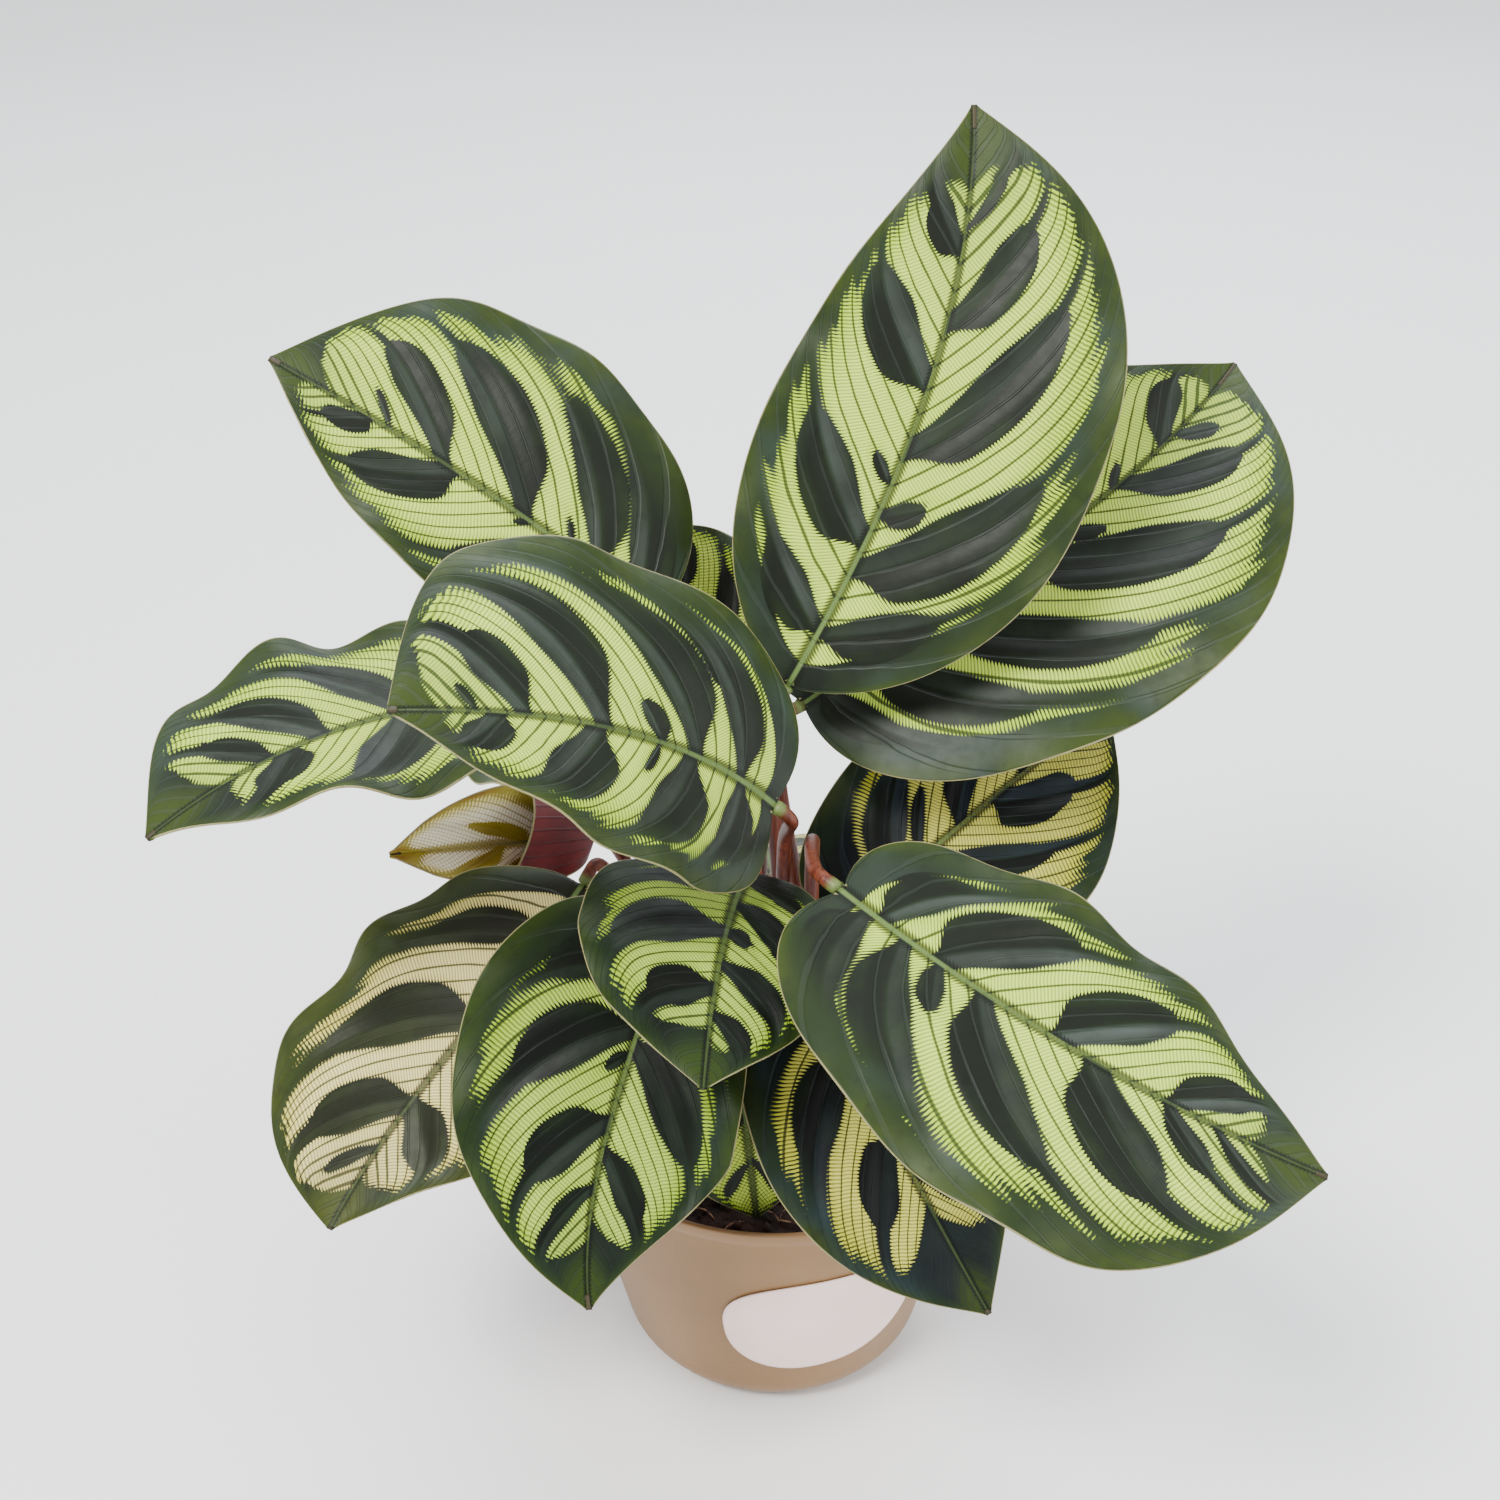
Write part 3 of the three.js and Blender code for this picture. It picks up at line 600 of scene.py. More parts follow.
def put_points(piece, points):
    """Gives the mesh its points, worked out in millimetres."""
    piece.data.vertices.foreach_set("co", (points * MM).ravel())
    piece.data.update()


def put_values(piece, **layers):
    for name, values in layers.items():
        layer = piece.data.attributes.new(name, "FLOAT", "POINT")
        layer.data.foreach_set("value", values.astype(np.float32))


def primitive(name, add, *finishes, **settings):
    bpy.ops.object.select_all(action="DESELECT")
    add(**settings)
    piece = bpy.context.object
    piece.name = piece.data.name = name
    for finish in finishes:
        piece.data.materials.append(finish)
    return piece


def grid(name, rows, columns, *finishes):
    """A flat grid, with the places of its points, from -1 to 1, along and across."""
    piece = primitive(
        name, bpy.ops.mesh.primitive_grid_add, *finishes,
        x_subdivisions=rows, y_subdivisions=columns, size=2,
    )
    return piece, *points_of(piece)[:, :2].T


def ball(name, segments, rings, finish):
    """A ball, with each point's turn about the axis and its share of the way down from the top."""
    piece = primitive(
        name, bpy.ops.mesh.primitive_uv_sphere_add, finish,
        segments=segments, ring_count=rings, radius=1,
    )
    x, y, z = points_of(piece).T
    return piece, np.arctan2(y, x), np.arccos(np.clip(z, -1, 1)) / np.pi


def apply_modifier(piece, kind, **settings):
    modifier = piece.modifiers.new(kind.lower(), kind)
    for name, value in settings.items():
        setattr(modifier, name, value)
    bpy.context.view_layer.objects.active = piece
    bpy.ops.object.modifier_apply(modifier=modifier.name)


def turn_faces_out():
    """Turns the normals of the active piece outwards."""
    bpy.ops.object.mode_set(mode="EDIT")
    bpy.ops.mesh.select_all(action="SELECT")
    bpy.ops.mesh.normals_make_consistent(inside=False)
    bpy.ops.object.mode_set(mode="OBJECT")


def finish_piece(piece, slot, *nodes):
    bpy.ops.object.select_all(action="DESELECT")
    piece.select_set(True)
    bpy.context.view_layer.objects.active = piece
    bpy.ops.object.shade_smooth()
    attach(piece, "root")
    if nodes:
        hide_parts(*nodes)


def wall_radius(height):
    return POT_FOOT_RADIUS + (POT_RIM_RADIUS - POT_FOOT_RADIUS) * height / POT_HEIGHT


def soil_height(radius):
    return SOIL_EDGE_HEIGHT + SOIL_CROWN * (1 - (radius / wall_radius(SOIL_EDGE_HEIGHT)) ** 2)


# -------------------- blades
def half(pair, side):
    """The left or the right value of a pair, or the one that both halves share."""
    left, right = np.broadcast_to(pair, 2)
    return np.where(side > 0, right, left).astype(float)


def upright(leaf, along):
    """The way the leaf faces, made square to a direction along it."""
    return square_to(np.array(leaf["face"], float), along)


def spine(leaf, t):
    """Points of the midrib, and its direction there."""
    neck, tip = np.array(leaf["neck"], float), np.array(leaf["tip"], float)
    third = (tip - neck) / 3
    along = unit(third)
    face = upright(leaf, along)
    right = np.cross(along, face)
    bow, sweep = np.broadcast_to(leaf["bow"], 2), np.broadcast_to(leaf["sweep"], 2)
    near_neck = neck + third + face * bow[0] + right * sweep[0]
    near_tip = tip - third + face * bow[1] + right * sweep[1]
    t = np.asarray(t, float)[..., None]
    u = 1 - t
    point = neck * u**3 + 3 * near_neck * u * u * t + 3 * near_tip * u * t * t + tip * t**3
    run = (
        (near_neck - neck) * u * u + 2 * (near_tip - near_neck) * u * t
        + (tip - near_tip) * t * t
    )
    return point, unit(run)


def half_width(leaf, t, side):
    peak = half(leaf["peak"], side)
    base = np.sqrt(np.clip(1 - (1 - t / peak) ** 2, 0, None))
    reach = np.clip((t - peak) / (1 - peak), 0, None)
    blunt = (1 - reach ** half(leaf["full"], side)) * (1 - TIP_TRIM * reach**TIP_TRIM_POWER)
    least = NECK_HALF + (TIP_HALF - NECK_HALF) * t
    return least + (half(leaf["width"], side) - least) * np.where(t < peak, base, blunt)


def midrib_length(leaf):
    points, _ = spine(leaf, np.linspace(0, 1, 50))
    return np.linalg.norm(np.diff(points, axis=0), axis=1).sum()


def vein_start(leaf, t, side, across, width):
    """Where the lateral vein through a point leaves the midrib, found by halving."""
    share = across / half(leaf["width"], side)
    run = across * half(leaf["slant"], side) * (1 + VEIN_CURVE * share)
    run += width * VEIN_HOOK * (across / width) ** VEIN_HOOK_POWER
    run = run / midrib_length(leaf)
    low, high = np.full_like(t, -1.0), np.ones_like(t)
    for _ in range(HALVINGS):
        middle = (low + high) / 2
        fan = 1 - VEIN_FAN * np.exp(-np.maximum(middle, 0) / VEIN_FAN_LENGTH)
        short = middle + run * fan < t
        low, high = np.where(short, middle, low), np.where(short, high, middle)
    return (low + high) / 2


def ladder_place(leaf, t, side, across, width):
    """Where along the midrib the fine line through a point starts, in steps of LADDER_SPREAD
    millimetres.  The lines cross the veins squarely, so their slope is the inverse of theirs."""
    out = across[:, None] * (np.arange(LADDER_STEPS) + 0.5) / LADDER_STEPS
    full = half(leaf["width"], side)[:, None]
    slope = half(leaf["slant"], side)[:, None] * (1 + 2 * VEIN_CURVE * out / full)
    slope = slope + VEIN_HOOK * VEIN_HOOK_POWER * (out / width[:, None]) ** (VEIN_HOOK_POWER - 1)
    slope = np.maximum(slope, LADDER_LEAST)
    start = t * midrib_length(leaf) + across * np.mean(1 / slope, axis=1)
    return start / LADDER_SPREAD


def finger(vein, side):
    """The pale bands end in fingers between the veins, some longer than others."""
    slow, fast = FINGER_WAVES
    uneven = np.sin(slow * vein + 2 * side) + 0.7 * np.sin(fast * vein + side + 1)
    return FINGER_LENGTH * np.cos(2 * np.pi * VEINS * vein) + FINGER_VARIETY * uneven


def smooth_step(value):
    value = np.clip(value, 0, 1)
    return value * value * (3 - 2 * value)


def valley_side(oval, vein, reach):
    """Which side of the oval's own sunken vein a point is on, in half breadths."""
    start, end, far, breadth, _ = oval
    first, last = start - VEIN_SHIFT * breadth, end + TAIL_SHIFT * breadth
    return (vein - first - (last - first) * np.minimum(reach / far, VALLEY_END)) / breadth


def oval_depth(oval, vein, reach, width, length):
    """How deep a point lies in one oval, or in the strip beyond it, in millimetres."""
    start, end, far, breadth, tail = oval
    u = reach / far
    swell = STEM + (1 - STEM) * smooth_step(u / SWELL_END)
    room = breadth * swell * np.sqrt(np.clip(1 - u**OVAL_POWER, 0, 1))
    depth = (room - np.abs(vein - start - (end - start) * u)) * length
    depth = np.minimum(depth, (far - reach) * width)
    if tail:
        strip = (tail - np.abs(vein - end - TAIL_SHIFT * breadth)) * length
        depth = np.maximum(depth, np.minimum(strip, (reach - TAIL_START * far) * width))
    return depth


def ovals_of(leaf, side):
    """Each dark oval of the leaf, and which points are in its half."""
    for sign, name in ((-1, "left"), (1, "right")):
        for oval in np.array(leaf[name]) / 1000:
            yield oval, side == sign


def dark_field(leaf, vein, side, reach, width):
    """How deep a point lies in the dark ovals or the dark margin, in millimetres, with the pale
    ground below 0, and on which side of its oval's vein it is, from -1 to 1."""
    length = midrib_length(leaf)
    last = half(leaf["last"], side)
    beyond = np.maximum(vein - last + TIP_STRETCH, 0) / TIP_STRETCH
    before = np.maximum(PALE_START + BASE_STRETCH - vein, 0) / BASE_STRETCH
    out = (reach - finger(vein, side)) / PALE_REACH
    margin = (np.sqrt(np.maximum(out, 0) ** 2 + np.maximum(beyond, before) ** 2) - 1) * width
    total = np.exp(np.clip(margin / BLEND, -BLEND_LIMIT, BLEND_LIMIT))
    deepest = np.full_like(vein, -FAR)
    lee = np.zeros_like(vein)
    for oval, inside in ovals_of(leaf, side):
        depth = np.where(inside, oval_depth(oval, vein, reach, width, length), OUTSIDE)
        total += np.exp(np.clip(depth / BLEND, -BLEND_LIMIT, BLEND_LIMIT))
        lee = np.where(depth > deepest, valley_side(oval, vein, reach), lee)
        deepest = np.maximum(deepest, depth)
    lee = np.clip(lee, -1, 1) * smooth_step(deepest / LEE_FADE + 1)
    return BLEND * np.log(total) + leaf["spread"], lee


def quilting(leaf, vein, side, reach, width):
    """The blade sinks along the vein in the middle of each oval, and a little along every vein."""
    across = reach * (1 - reach) * 4
    sink = np.zeros_like(vein)
    for oval, inside in ovals_of(leaf, side):
        valley = np.exp(-((valley_side(oval, vein, reach) / VALLEY_HALF) ** 2))
        sink += np.where(inside, valley * (oval[3] / VALLEY_BREADTH), 0)
    room = width / half(leaf["width"], side)
    ripple = 0.5 + 0.5 * np.cos(2 * np.pi * VEINS * vein)
    return -(QUILT_DEPTH * sink * room + RIPPLE_DEPTH * ripple * room * room) * across


def blade_points(leaf, t, side, reach):
    point, along = spine(leaf, t)
    up = upright(leaf, along)
    right = np.cross(along, up)
    width = half_width(leaf, t, side)
    across = width * reach
    fold = half(leaf["fold"], side)
    chord = np.radians(fold + leaf["curl"] * reach / 2)
    slope = np.radians(fold + leaf["curl"] * reach)
    height, count, phase = leaf["wave"]
    wave = height * np.sin(2 * np.pi * (count * t + phase + WAVE_OFFSET * side))
    wave = wave * reach**WAVE_POWER * np.sin(np.pi * t)
    share = np.clip(across - NECK_HALF, 0, None) / half(leaf["width"], side)
    back = half(leaf["lobe"], side) * share * (1 - t) ** LOBE_FADE
    vein = vein_start(leaf, t, side, across, width)
    lift = BLADE_TOP + quilting(leaf, vein, side, reach, width)
    sideways = side * (across * np.cos(chord) - lift * np.sin(slope))
    upwards = across * np.sin(chord) + wave + lift * np.cos(slope)
    points = point + right * sideways[:, None] + up * upwards[:, None] - along * back[:, None]
    return points, vein, across, width


def make_blade(leaf):
    length = midrib_length(leaf)
    rows = int(length / GRID_STEP)
    columns = 2 * int(max(leaf["width"]) / GRID_STEP)
    finish = BLADE_FINISHES.get(leaf["name"], FULL)
    piece, run, over = grid(leaf["name"] + "_leaf", rows, columns, finish, UNDERSIDE)
    t = 0.5 + 0.5 * np.sin(np.pi / 2 * run)
    side = np.where(over > 0, -1.0, 1.0)
    reach = np.abs(over)
    points, vein, across, width = blade_points(leaf, t, side, reach)
    put_points(piece, points)
    depth, lee = dark_field(leaf, vein, side, reach, width)
    put_values(
        piece, vein=vein, ladder=ladder_place(leaf, t, side, across, width), reach=reach,
        rib=across, edge=(1 - reach) * width, dark=depth, lee=lee, shine=half(leaf["shine"], side),
    )
    rib = np.sqrt(np.clip(1 - (across / RIB_HALF) ** 2, 0, 1)) * (1 - RIB_FLATTENING * t)
    group = piece.vertex_groups.new(name="rib_depth")
    for index in np.flatnonzero(rib > 0):
        group.add([int(index)], float(rib[index]), "REPLACE")
    thick = BLADE_THICKNESS + RIB_DEPTH
    apply_modifier(
        piece, "SOLIDIFY", thickness=thick * MM, offset=-1.0, vertex_group="rib_depth",
        thickness_vertex_group=BLADE_THICKNESS / thick, material_offset=1,
    )
    slot = "young_blade" if leaf["name"] == "young" else "blade"
    finish_piece(piece, slot, leaf["name"] + "_blade")


ROLL_RIGHT = 0.35
ROLL_LEFT = 0.5
ROLL_HEIGHT = 8
ROLL_NECK = 0.25
ROLL_VEINS = 3
ROLL_ROWS = 32
ROLL_COLUMNS = 48


def make_roll(leaf):
    """The foot of the young leaf, still rolled: its margins meet over the face and show maroon."""
    piece, along, over = grid(leaf["name"] + "_leaf_roll", ROLL_ROWS, ROLL_COLUMNS, UNDERSIDE)
    along, over = 0.5 + 0.5 * along, 0.5 + 0.5 * over
    mouth = ROLL_RIGHT + (ROLL_LEFT - ROLL_RIGHT) * over
    t = along * mouth
    ones = np.ones_like(t)
    upper = blade_points(leaf, t, ones, ones)[0]
    lower = blade_points(leaf, t, -ones, ones)[0]
    up = upright(leaf, spine(leaf, t)[1])
    arch = ROLL_HEIGHT * (ROLL_NECK + (1 - ROLL_NECK) * np.sqrt(along)) * np.sin(np.pi * over)
    put_points(piece, upper + (lower - upper) * over[:, None] + up * arch[:, None])
    put_values(
        piece, vein=over / ROLL_VEINS, rib=FAR * ones, dark=-FAR * ones,
        edge=(1 - along) * mouth * midrib_length(leaf),
    )
    apply_modifier(piece, "SOLIDIFY", thickness=BLADE_THICKNESS * MM, offset=-1.0)
    finish_piece(piece, "young_blade")


# -------------------- stalks
def smooth_path(stops, count):
    """A centripetal Catmull-Rom curve through the stops, each stretch with an equal share."""
    stops = [np.array(stop, float) for stop in stops]
    stops = [2 * stops[0] - stops[1], *stops, 2 * stops[-1] - stops[-2]]
    spans = len(stops) - 3
    points = []
    for place in np.linspace(0, spans, count):
        first = min(int(place), spans - 1)
        before, start, end, after = stops[first:first + 4]
        past, gap, coming = (
            np.sqrt(np.linalg.norm(leg)) for leg in (start - before, end - start, after - end)
        )
        pace = (end - start) / gap
        leave = (start - before) / past - (end - before) / (past + gap) + pace
        arrive = pace - (after - start) / (gap + coming) + (after - end) / coming
        leave, arrive, w = leave * gap, arrive * gap, place - first
        points.append(
            start + leave * w
            + (3 * (end - start) - 2 * leave - arrive) * w * w
            + (2 * (start - end) + leave + arrive) * w**3
        )
    return np.array(points)


def stalk_path(leaf, count):
    x, y = leaf["foot"]
    foot = np.array([x, y, soil_height(math.hypot(x, y)) - STALK_DEPTH])
    neck, along = spine(leaf, 0.0)
    lean = unit(neck - foot) * STALK_LEAN
    rise = unit(np.array([lean[0], lean[1], 1.0]))
    stops = [foot, foot + rise * STALK_RISE, neck - along * STALK_BEND, neck]
    if "via" in leaf:
        stops.insert(2, leaf["via"])
    return smooth_path(stops, count)


STALK_RINGS = 72
STALK_SIDES = 20
STALK_CAP_RINGS = 3
JOINT_PLACE = 0.95
JOINT_LENGTH = 0.1
JOINT_SWELL = 0.14
SHEATH_END = 0.3
SHEATH_SWELL = 0.45


def make_stalk(leaf):
    """A ball drawn out along the stalk's path, so that both its ends are closed and round."""
    piece, turn, dip = ball(leaf["name"] + "_leaf_stalk", STALK_SIDES, STALK_RINGS, STALK)
    share = 1 - dip
    path = stalk_path(leaf, STALK_RINGS + 1)
    tangent = unit(np.gradient(path, axis=0))
    right = np.empty_like(path)
    right[0] = square_to(np.array([1.0, 0, 0]), tangent[0])
    for ring in range(1, len(path)):
        right[ring] = square_to(right[ring - 1], tangent[ring])
    over = np.cross(tangent, right)
    ring = np.rint(share * STALK_RINGS).astype(int)
    radius = STALK_FOOT_RADIUS + (STALK_NECK_RADIUS - STALK_FOOT_RADIUS) * share
    radius = radius * (1 + JOINT_SWELL * np.exp(-(((share - JOINT_PLACE) / JOINT_LENGTH) ** 4)))
    radius = radius * (1 + SHEATH_SWELL * np.clip(1 - share / SHEATH_END, 0, 1))
    cap = np.minimum(np.minimum(ring, STALK_RINGS - ring) / STALK_CAP_RINGS, 1)
    radius = radius * np.sqrt(1 - (1 - cap) ** 2)
    points = (
        path[ring]
        + right[ring] * (radius * np.cos(turn))[:, None]
        + over[ring] * (radius * np.sin(turn))[:, None]
    )
    put_points(piece, points)
    put_values(piece, along=share)
    turn_faces_out()
    finish_piece(piece, "stalk", leaf["name"] + "_stalk")


# -------------------- pot
CORNER_STEPS = 14
LIP_STEPS = 8
SEAM_DROP = 5
SEAM_DEPTH = 0.12
SEAM_HALF = 0.6
MERGE_DISTANCE = 0.01
SHARP_ANGLE = 35
DRAIN_SEGMENTS = 32
WALL_LEAN = math.atan2(POT_HEIGHT, POT_RIM_RADIUS - POT_FOOT_RADIUS)


def foot_arc(inset, corner, base):
    """The rounded foot as radius and height, from the flat base to where the wall is straight."""
    flat = corner / math.tan((math.pi - WALL_LEAN) / 2)
    centre = wall_radius(base) - inset / math.sin(WALL_LEAN) - flat
    arc = []
    for step in range(CORNER_STEPS + 1):
        angle = -math.pi / 2 + WALL_LEAN * step / CORNER_STEPS
        arc.append((centre + corner * math.cos(angle), base + corner * (1 + math.sin(angle))))
    return arc


def make_pot():
    lip = POT_WALL / 2
    middle = POT_RIM_RADIUS - POT_WALL / math.sin(WALL_LEAN) / 2
    rounded = [
        (middle + lip * math.cos(math.pi * step / LIP_STEPS),
         POT_HEIGHT - lip + lip * math.sin(math.pi * step / LIP_STEPS))
        for step in range(LIP_STEPS + 1)
    ]
    seam = POT_HEIGHT - SEAM_DROP
    groove = [
        (wall_radius(seam - SEAM_HALF), seam - SEAM_HALF),
        (wall_radius(seam) - SEAM_DEPTH, seam),
        (wall_radius(seam + SEAM_HALF), seam + SEAM_HALF),
    ]
    profile = [
        (0, 0), *foot_arc(0, POT_CORNER, 0), *groove, *rounded,
        *reversed(foot_arc(POT_WALL, POT_CORNER - POT_WALL, POT_FLOOR)), (0, POT_FLOOR),
    ]
    piece = primitive("pot_shell", bpy.ops.mesh.primitive_plane_add, PLASTIC)
    shape = bmesh.new()
    corners = [shape.verts.new((radius * MM, 0, height * MM)) for radius, height in profile]
    for first, second in zip(corners, corners[1:]):
        shape.edges.new((first, second))
    shape.to_mesh(piece.data)
    shape.free()
    bpy.ops.object.mode_set(mode="EDIT")
    bpy.ops.mesh.select_all(action="SELECT")
    bpy.ops.mesh.spin(steps=POT_SEGMENTS, angle=2 * math.pi, center=(0, 0, 0), axis=(0, 0, 1))
    bpy.ops.mesh.select_all(action="SELECT")
    bpy.ops.mesh.remove_doubles(threshold=MERGE_DISTANCE * MM)
    bpy.ops.object.mode_set(mode="OBJECT")
    turn_faces_out()
    for hole in range(DRAIN_COUNT):
        angle = 2 * math.pi * hole / DRAIN_COUNT
        place = Vector((math.cos(angle), math.sin(angle), 0)) * DRAIN_CIRCLE * MM
        drill = primitive(
            "drill", bpy.ops.mesh.primitive_cylinder_add, radius=DRAIN_RADIUS * MM,
            depth=4 * POT_FLOOR * MM, vertices=DRAIN_SEGMENTS, location=place,
        )
        apply_modifier(piece, "BOOLEAN", operation="DIFFERENCE", object=drill, solver="EXACT")
        bpy.data.objects.remove(drill)
    finish_piece(piece, "pot", "pot")
    bpy.ops.object.shade_smooth_by_angle(angle=math.radians(SHARP_ANGLE))


LABEL_ROWS = 72
LABEL_COLUMNS = 48


def squared(share):
    return np.sign(share) * np.abs(share) ** LABEL_SQUARENESS


def make_label():
    """An oval sticker wrapped round the wall, from a grid drawn into an oval."""
    piece, x, y = grid("blank_label", LABEL_ROWS, LABEL_COLUMNS, PAPER)
    reach = np.maximum(np.abs(x), np.abs(y))
    turn = np.arctan2(y, x)
    across = reach * LABEL_HALF_LENGTH * squared(np.cos(turn))
    up = reach * LABEL_HALF_WIDTH * squared(np.sin(turn))
    tilt = math.radians(LABEL_TILT)
    height = LABEL_HEIGHT + across * math.sin(tilt) + up * math.cos(tilt)
    sweep = (across * math.cos(tilt) - up * math.sin(tilt)) / wall_radius(LABEL_HEIGHT)
    angle = math.radians(LABEL_ANGLE) + sweep
    radius = wall_radius(height) + LABEL_LIFT + LABEL_THICKNESS
    put_points(piece, np.stack([radius * np.cos(angle), radius * np.sin(angle), height], -1))
    apply_modifier(piece, "SOLIDIFY", thickness=LABEL_THICKNESS * MM, offset=-1.0)
    finish_piece(piece, "label", "label")


# -------------------- soil
SOIL_SEGMENTS = 220
SOIL_RINGS = 150
SOIL_FADE = 3
CLOD_HEIGHT = 1.5
CLOD_SCALE = 0.16
CLOD_OCTAVES = 5
GRIT_HEIGHT = 0.7
GRIT_SCALE = 0.9
SCATTER_SHARE = 0.97
SCATTER_MARGIN = 4

CRUMBS = 900
CRUMB_SEED = 7
CRUMB_LEAST = 0.4
CRUMB_RANGE = 1.3
CRUMB_POWER = 2.5
CRUMB_LIFT = 0.2
CRUMB_SQUEEZE = 0.7
CRUMB_STRETCH = 0.6
CRUMB_DENT = 0.8
CRUMB_BUMP = 0.4

FIBRES = 260
FIBRE_SEED = 11
FIBRE_RINGS = 6
FIBRE_SIDES = 3
FIBRE_LEAST = 4
FIBRE_RANGE = 9
FIBRE_THIN = 0.14
FIBRE_SWELL = 0.2
FIBRE_POINT = 1.5
FIBRE_BEND = 0.9
FIBRE_LIFT = 0.35
FIBRE_ARCH = 0.8


def clod(x, y):
    """The soil's own unevenness, in millimetres."""
    place = Vector((x, y, 0))
    lumps = noise.fractal(place * CLOD_SCALE, 1.0, 2.0, CLOD_OCTAVES)
    return CLOD_HEIGHT * lumps + GRIT_HEIGHT * noise.noise(place * GRIT_SCALE)


def make_soil():
    """A ball pressed into the pot: its upper half is the surface, its lower half the rest."""
    piece, turn, dip = ball("peat_body", SOIL_SEGMENTS, SOIL_RINGS, PEAT)
    gap = POT_WALL + SOIL_GAP
    side = foot_arc(gap, POT_CORNER - gap, POT_FLOOR + SOIL_GAP)
    edge = wall_radius(SOIL_EDGE_HEIGHT) - gap
    lower = np.array([(edge, SOIL_EDGE_HEIGHT), *reversed(side), (0, POT_FLOOR + SOIL_GAP)])
    steps = np.concatenate([[0], np.cumsum(np.linalg.norm(np.diff(lower, axis=0), axis=1))])
    down = np.clip(2 * dip - 1, 0, 1) * steps[-1]
    top = dip < 0.5
    radius = np.where(top, edge * 2 * dip, np.interp(down, steps, lower[:, 0]))
    height = np.where(top, soil_height(radius), np.interp(down, steps, lower[:, 1]))
    x, y = radius * np.cos(turn), radius * np.sin(turn)
    fade = np.clip((edge - radius) / SOIL_FADE, 0, 1)
    bumps = np.array([clod(a, b) if f else 0.0 for a, b, f in zip(x, y, top)])
    put_points(piece, np.stack([x, y, height + bumps * fade * top], -1))
    finish_piece(piece, "soil", "soil")


def surface_spot(random):
    widest = SCATTER_SHARE * (wall_radius(SOIL_EDGE_HEIGHT) - SCATTER_MARGIN)
    radius = widest * math.sqrt(random.random())
    angle = 2 * math.pi * random.random()
    x, y = radius * math.cos(angle), radius * math.sin(angle)
    return np.array([x, y, soil_height(radius) + clod(x, y)])


def make_scatter(name, finish, corners, faces, placed):
    """One piece of many small copies of a shape, each with its own size, turn and place."""
    piece = primitive(name, bpy.ops.mesh.primitive_plane_add, finish)
    rows = [
        tuple(corner + number * corners for corner in face)
        for number in range(len(placed)) for face in faces
    ]
    shape = bpy.data.meshes.new(name)
    shape.from_pydata((np.concatenate(placed) * MM).tolist(), [], rows)
    shape.materials.append(finish)
    piece.data = shape
    finish_piece(piece, "soil")


def make_crumbs():
    random = np.random.default_rng(CRUMB_SEED)
    pattern = primitive("pattern", bpy.ops.mesh.primitive_ico_sphere_add, subdivisions=1)
    shape = points_of(pattern)
    faces = [tuple(face.vertices) for face in pattern.data.polygons]
    bpy.data.objects.remove(pattern)
    placed = []
    for _ in range(CRUMBS):
        size = CRUMB_LEAST + CRUMB_RANGE * random.random() ** CRUMB_POWER
        stretch = size * (CRUMB_SQUEEZE + CRUMB_STRETCH * random.random(3))
        turn, _ = np.linalg.qr(random.normal(size=(3, 3)))
        turn[:, 0] *= np.sign(np.linalg.det(turn))
        rough = shape * (CRUMB_DENT + CRUMB_BUMP * random.random((len(shape), 1)))
        spot = surface_spot(random) + [0, 0, size * CRUMB_LIFT]
        placed.append((rough * stretch) @ turn.T + spot)
    make_scatter("peat_crumbs", PEAT, len(shape), faces, placed)


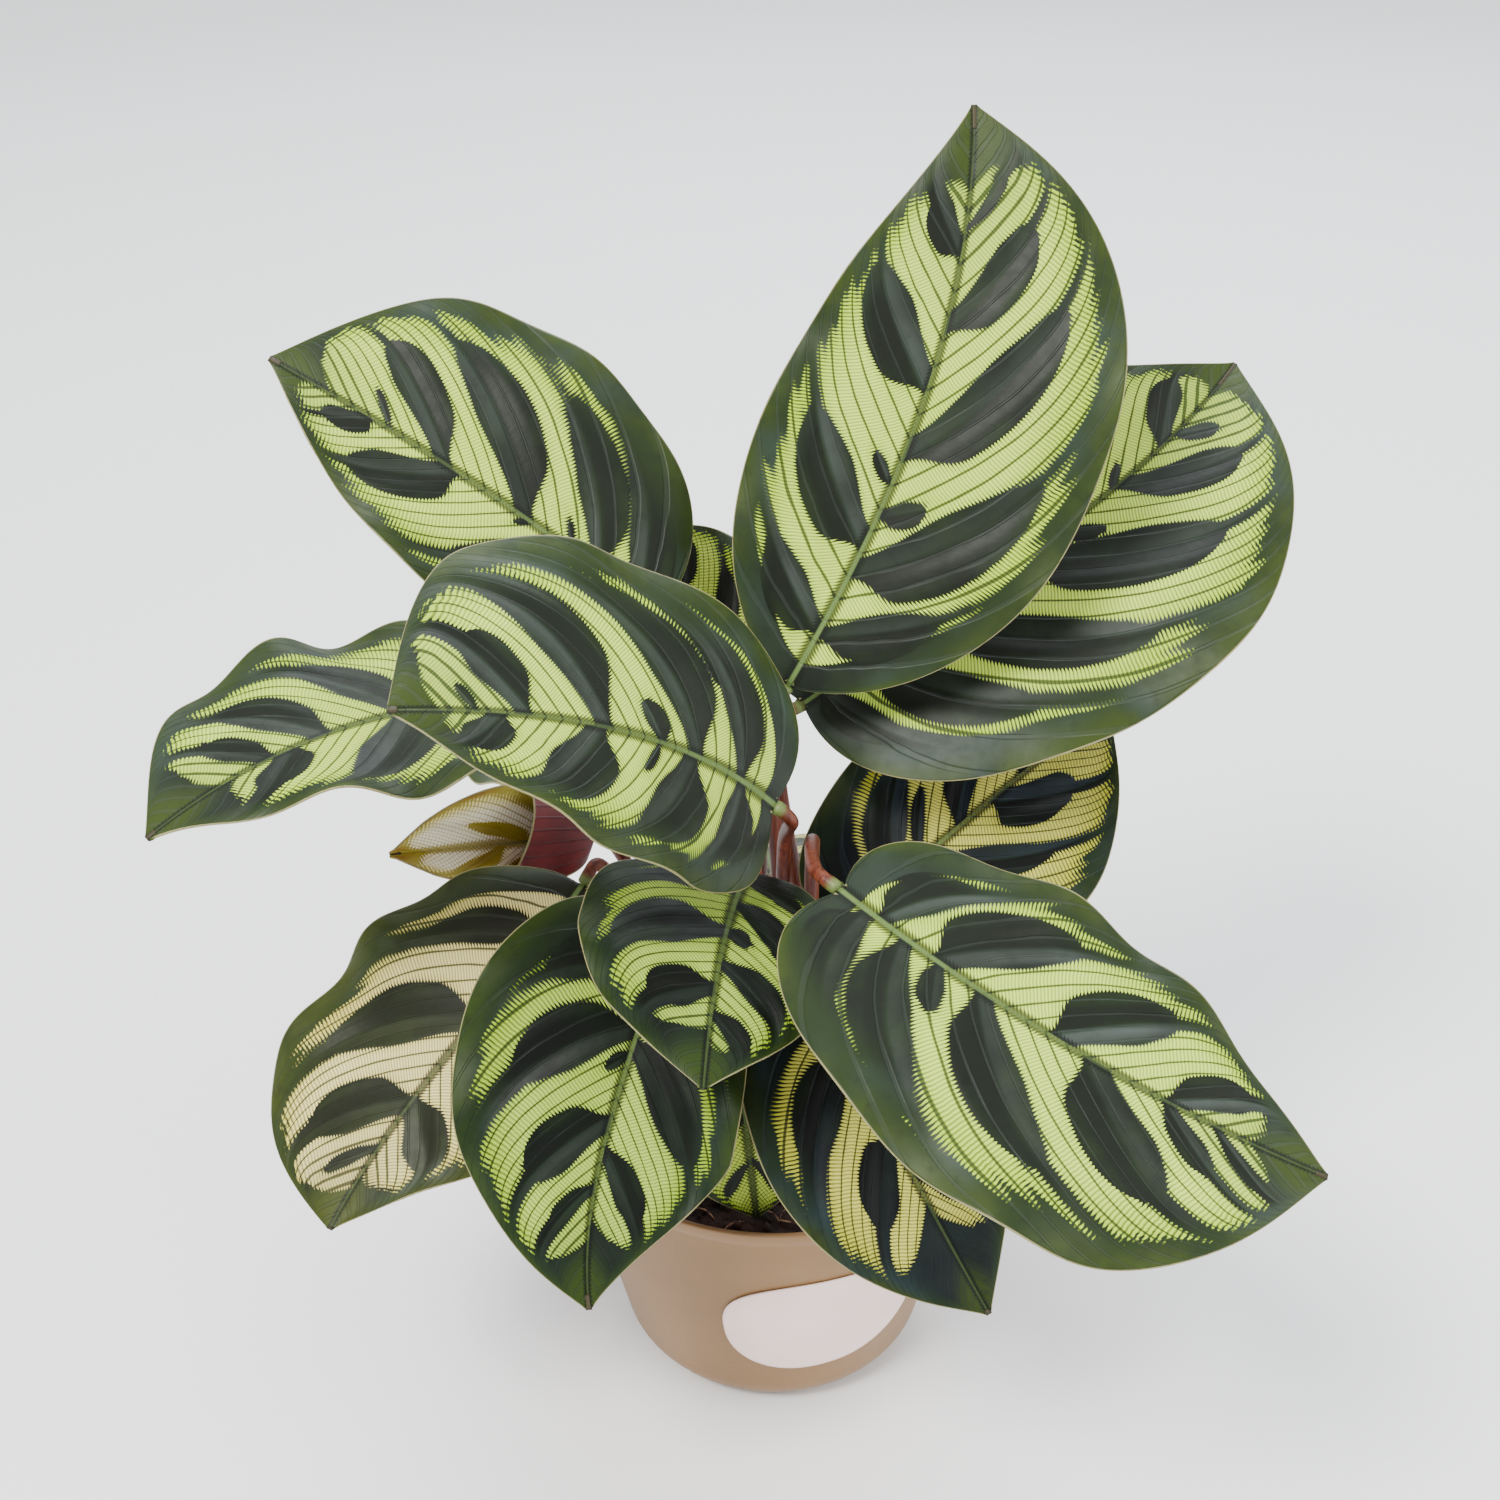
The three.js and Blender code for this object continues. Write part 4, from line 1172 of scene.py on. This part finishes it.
def make_fibres():
    """Short bent threads, three-sided and thinner towards both ends."""
    random = np.random.default_rng(FIBRE_SEED)
    rings, sides = FIBRE_RINGS, FIBRE_SIDES
    faces = []
    for ring in range(rings - 1):
        for side in range(sides):
            a, b = ring * sides + side, ring * sides + (side + 1) % sides
            faces.append((a, b, b + sides, a + sides))
    faces += [tuple(range(sides - 1, -1, -1)), tuple(range((rings - 1) * sides, rings * sides))]
    share = np.repeat(np.arange(rings) / (rings - 1) - 0.5, sides)
    turn = np.tile(2 * np.pi * np.arange(sides) / sides, rings)
    placed = []
    for _ in range(FIBRES):
        length = FIBRE_LEAST + FIBRE_RANGE * random.random()
        thick = FIBRE_THIN + FIBRE_SWELL * random.random()
        size = thick * (1 - FIBRE_POINT * share**2)
        heading = 2 * np.pi * random.random()
        angle = heading + random.normal() * FIBRE_BEND * share
        x = length * share * np.cos(angle) - size * np.sin(angle) * np.cos(turn)
        y = length * share * np.sin(angle) + size * np.cos(angle) * np.cos(turn)
        z = FIBRE_LIFT + FIBRE_ARCH * np.cos(3 * share) + size * np.sin(turn)
        placed.append(surface_spot(random) + np.stack([x, y, z], -1))
    make_scatter("peat_fibres", FIBRE, rings * sides, faces, placed)
    turn_faces_out()


# -------------------- build
for own in LEAVES:
    leaf = {**USUAL, **own}
    make_blade(leaf)
    make_stalk(leaf)
    if leaf["name"] == "young":
        make_roll(leaf)
make_pot()
make_label()
make_soil()
make_crumbs()
make_fibres()


# -------------------- stage
def add_light(name, place, target, size, power, tint=(1, 1, 1)):
    data = bpy.data.lights.new(name, "AREA")
    data.shape = "DISK"
    data.size = size
    data.energy = power
    data.color = tint
    lamp = bpy.data.objects.new(name, data)
    lamp.location = place
    lamp.rotation_euler = (Vector(target) - Vector(place)).to_track_quat("-Z", "Y").to_euler()
    bpy.context.scene.collection.objects.link(lamp)


floor = primitive("floor", bpy.ops.mesh.primitive_plane_add, floor_finish(), size=12)

MIDDLE = (0, 0, 0.17)
add_light("key", (-0.7, -0.9, 1.6), MIDDLE, 0.7, 50, (1.0, 0.98, 0.95))
add_light("sky", (0.3, 1.3, 1.7), MIDDLE, 1.4, 40, (0.88, 0.94, 1.0))
add_light("fill", (1.3, -0.6, 0.8), MIDDLE, 1.2, 14)

world = bpy.data.worlds.new("studio")
world.use_nodes = True
backdrop = world.node_tree.nodes["Background"].inputs
backdrop["Color"].default_value = (0.95, 0.97, 1.0, 1)
backdrop["Strength"].default_value = 1.1
bpy.context.scene.world = world
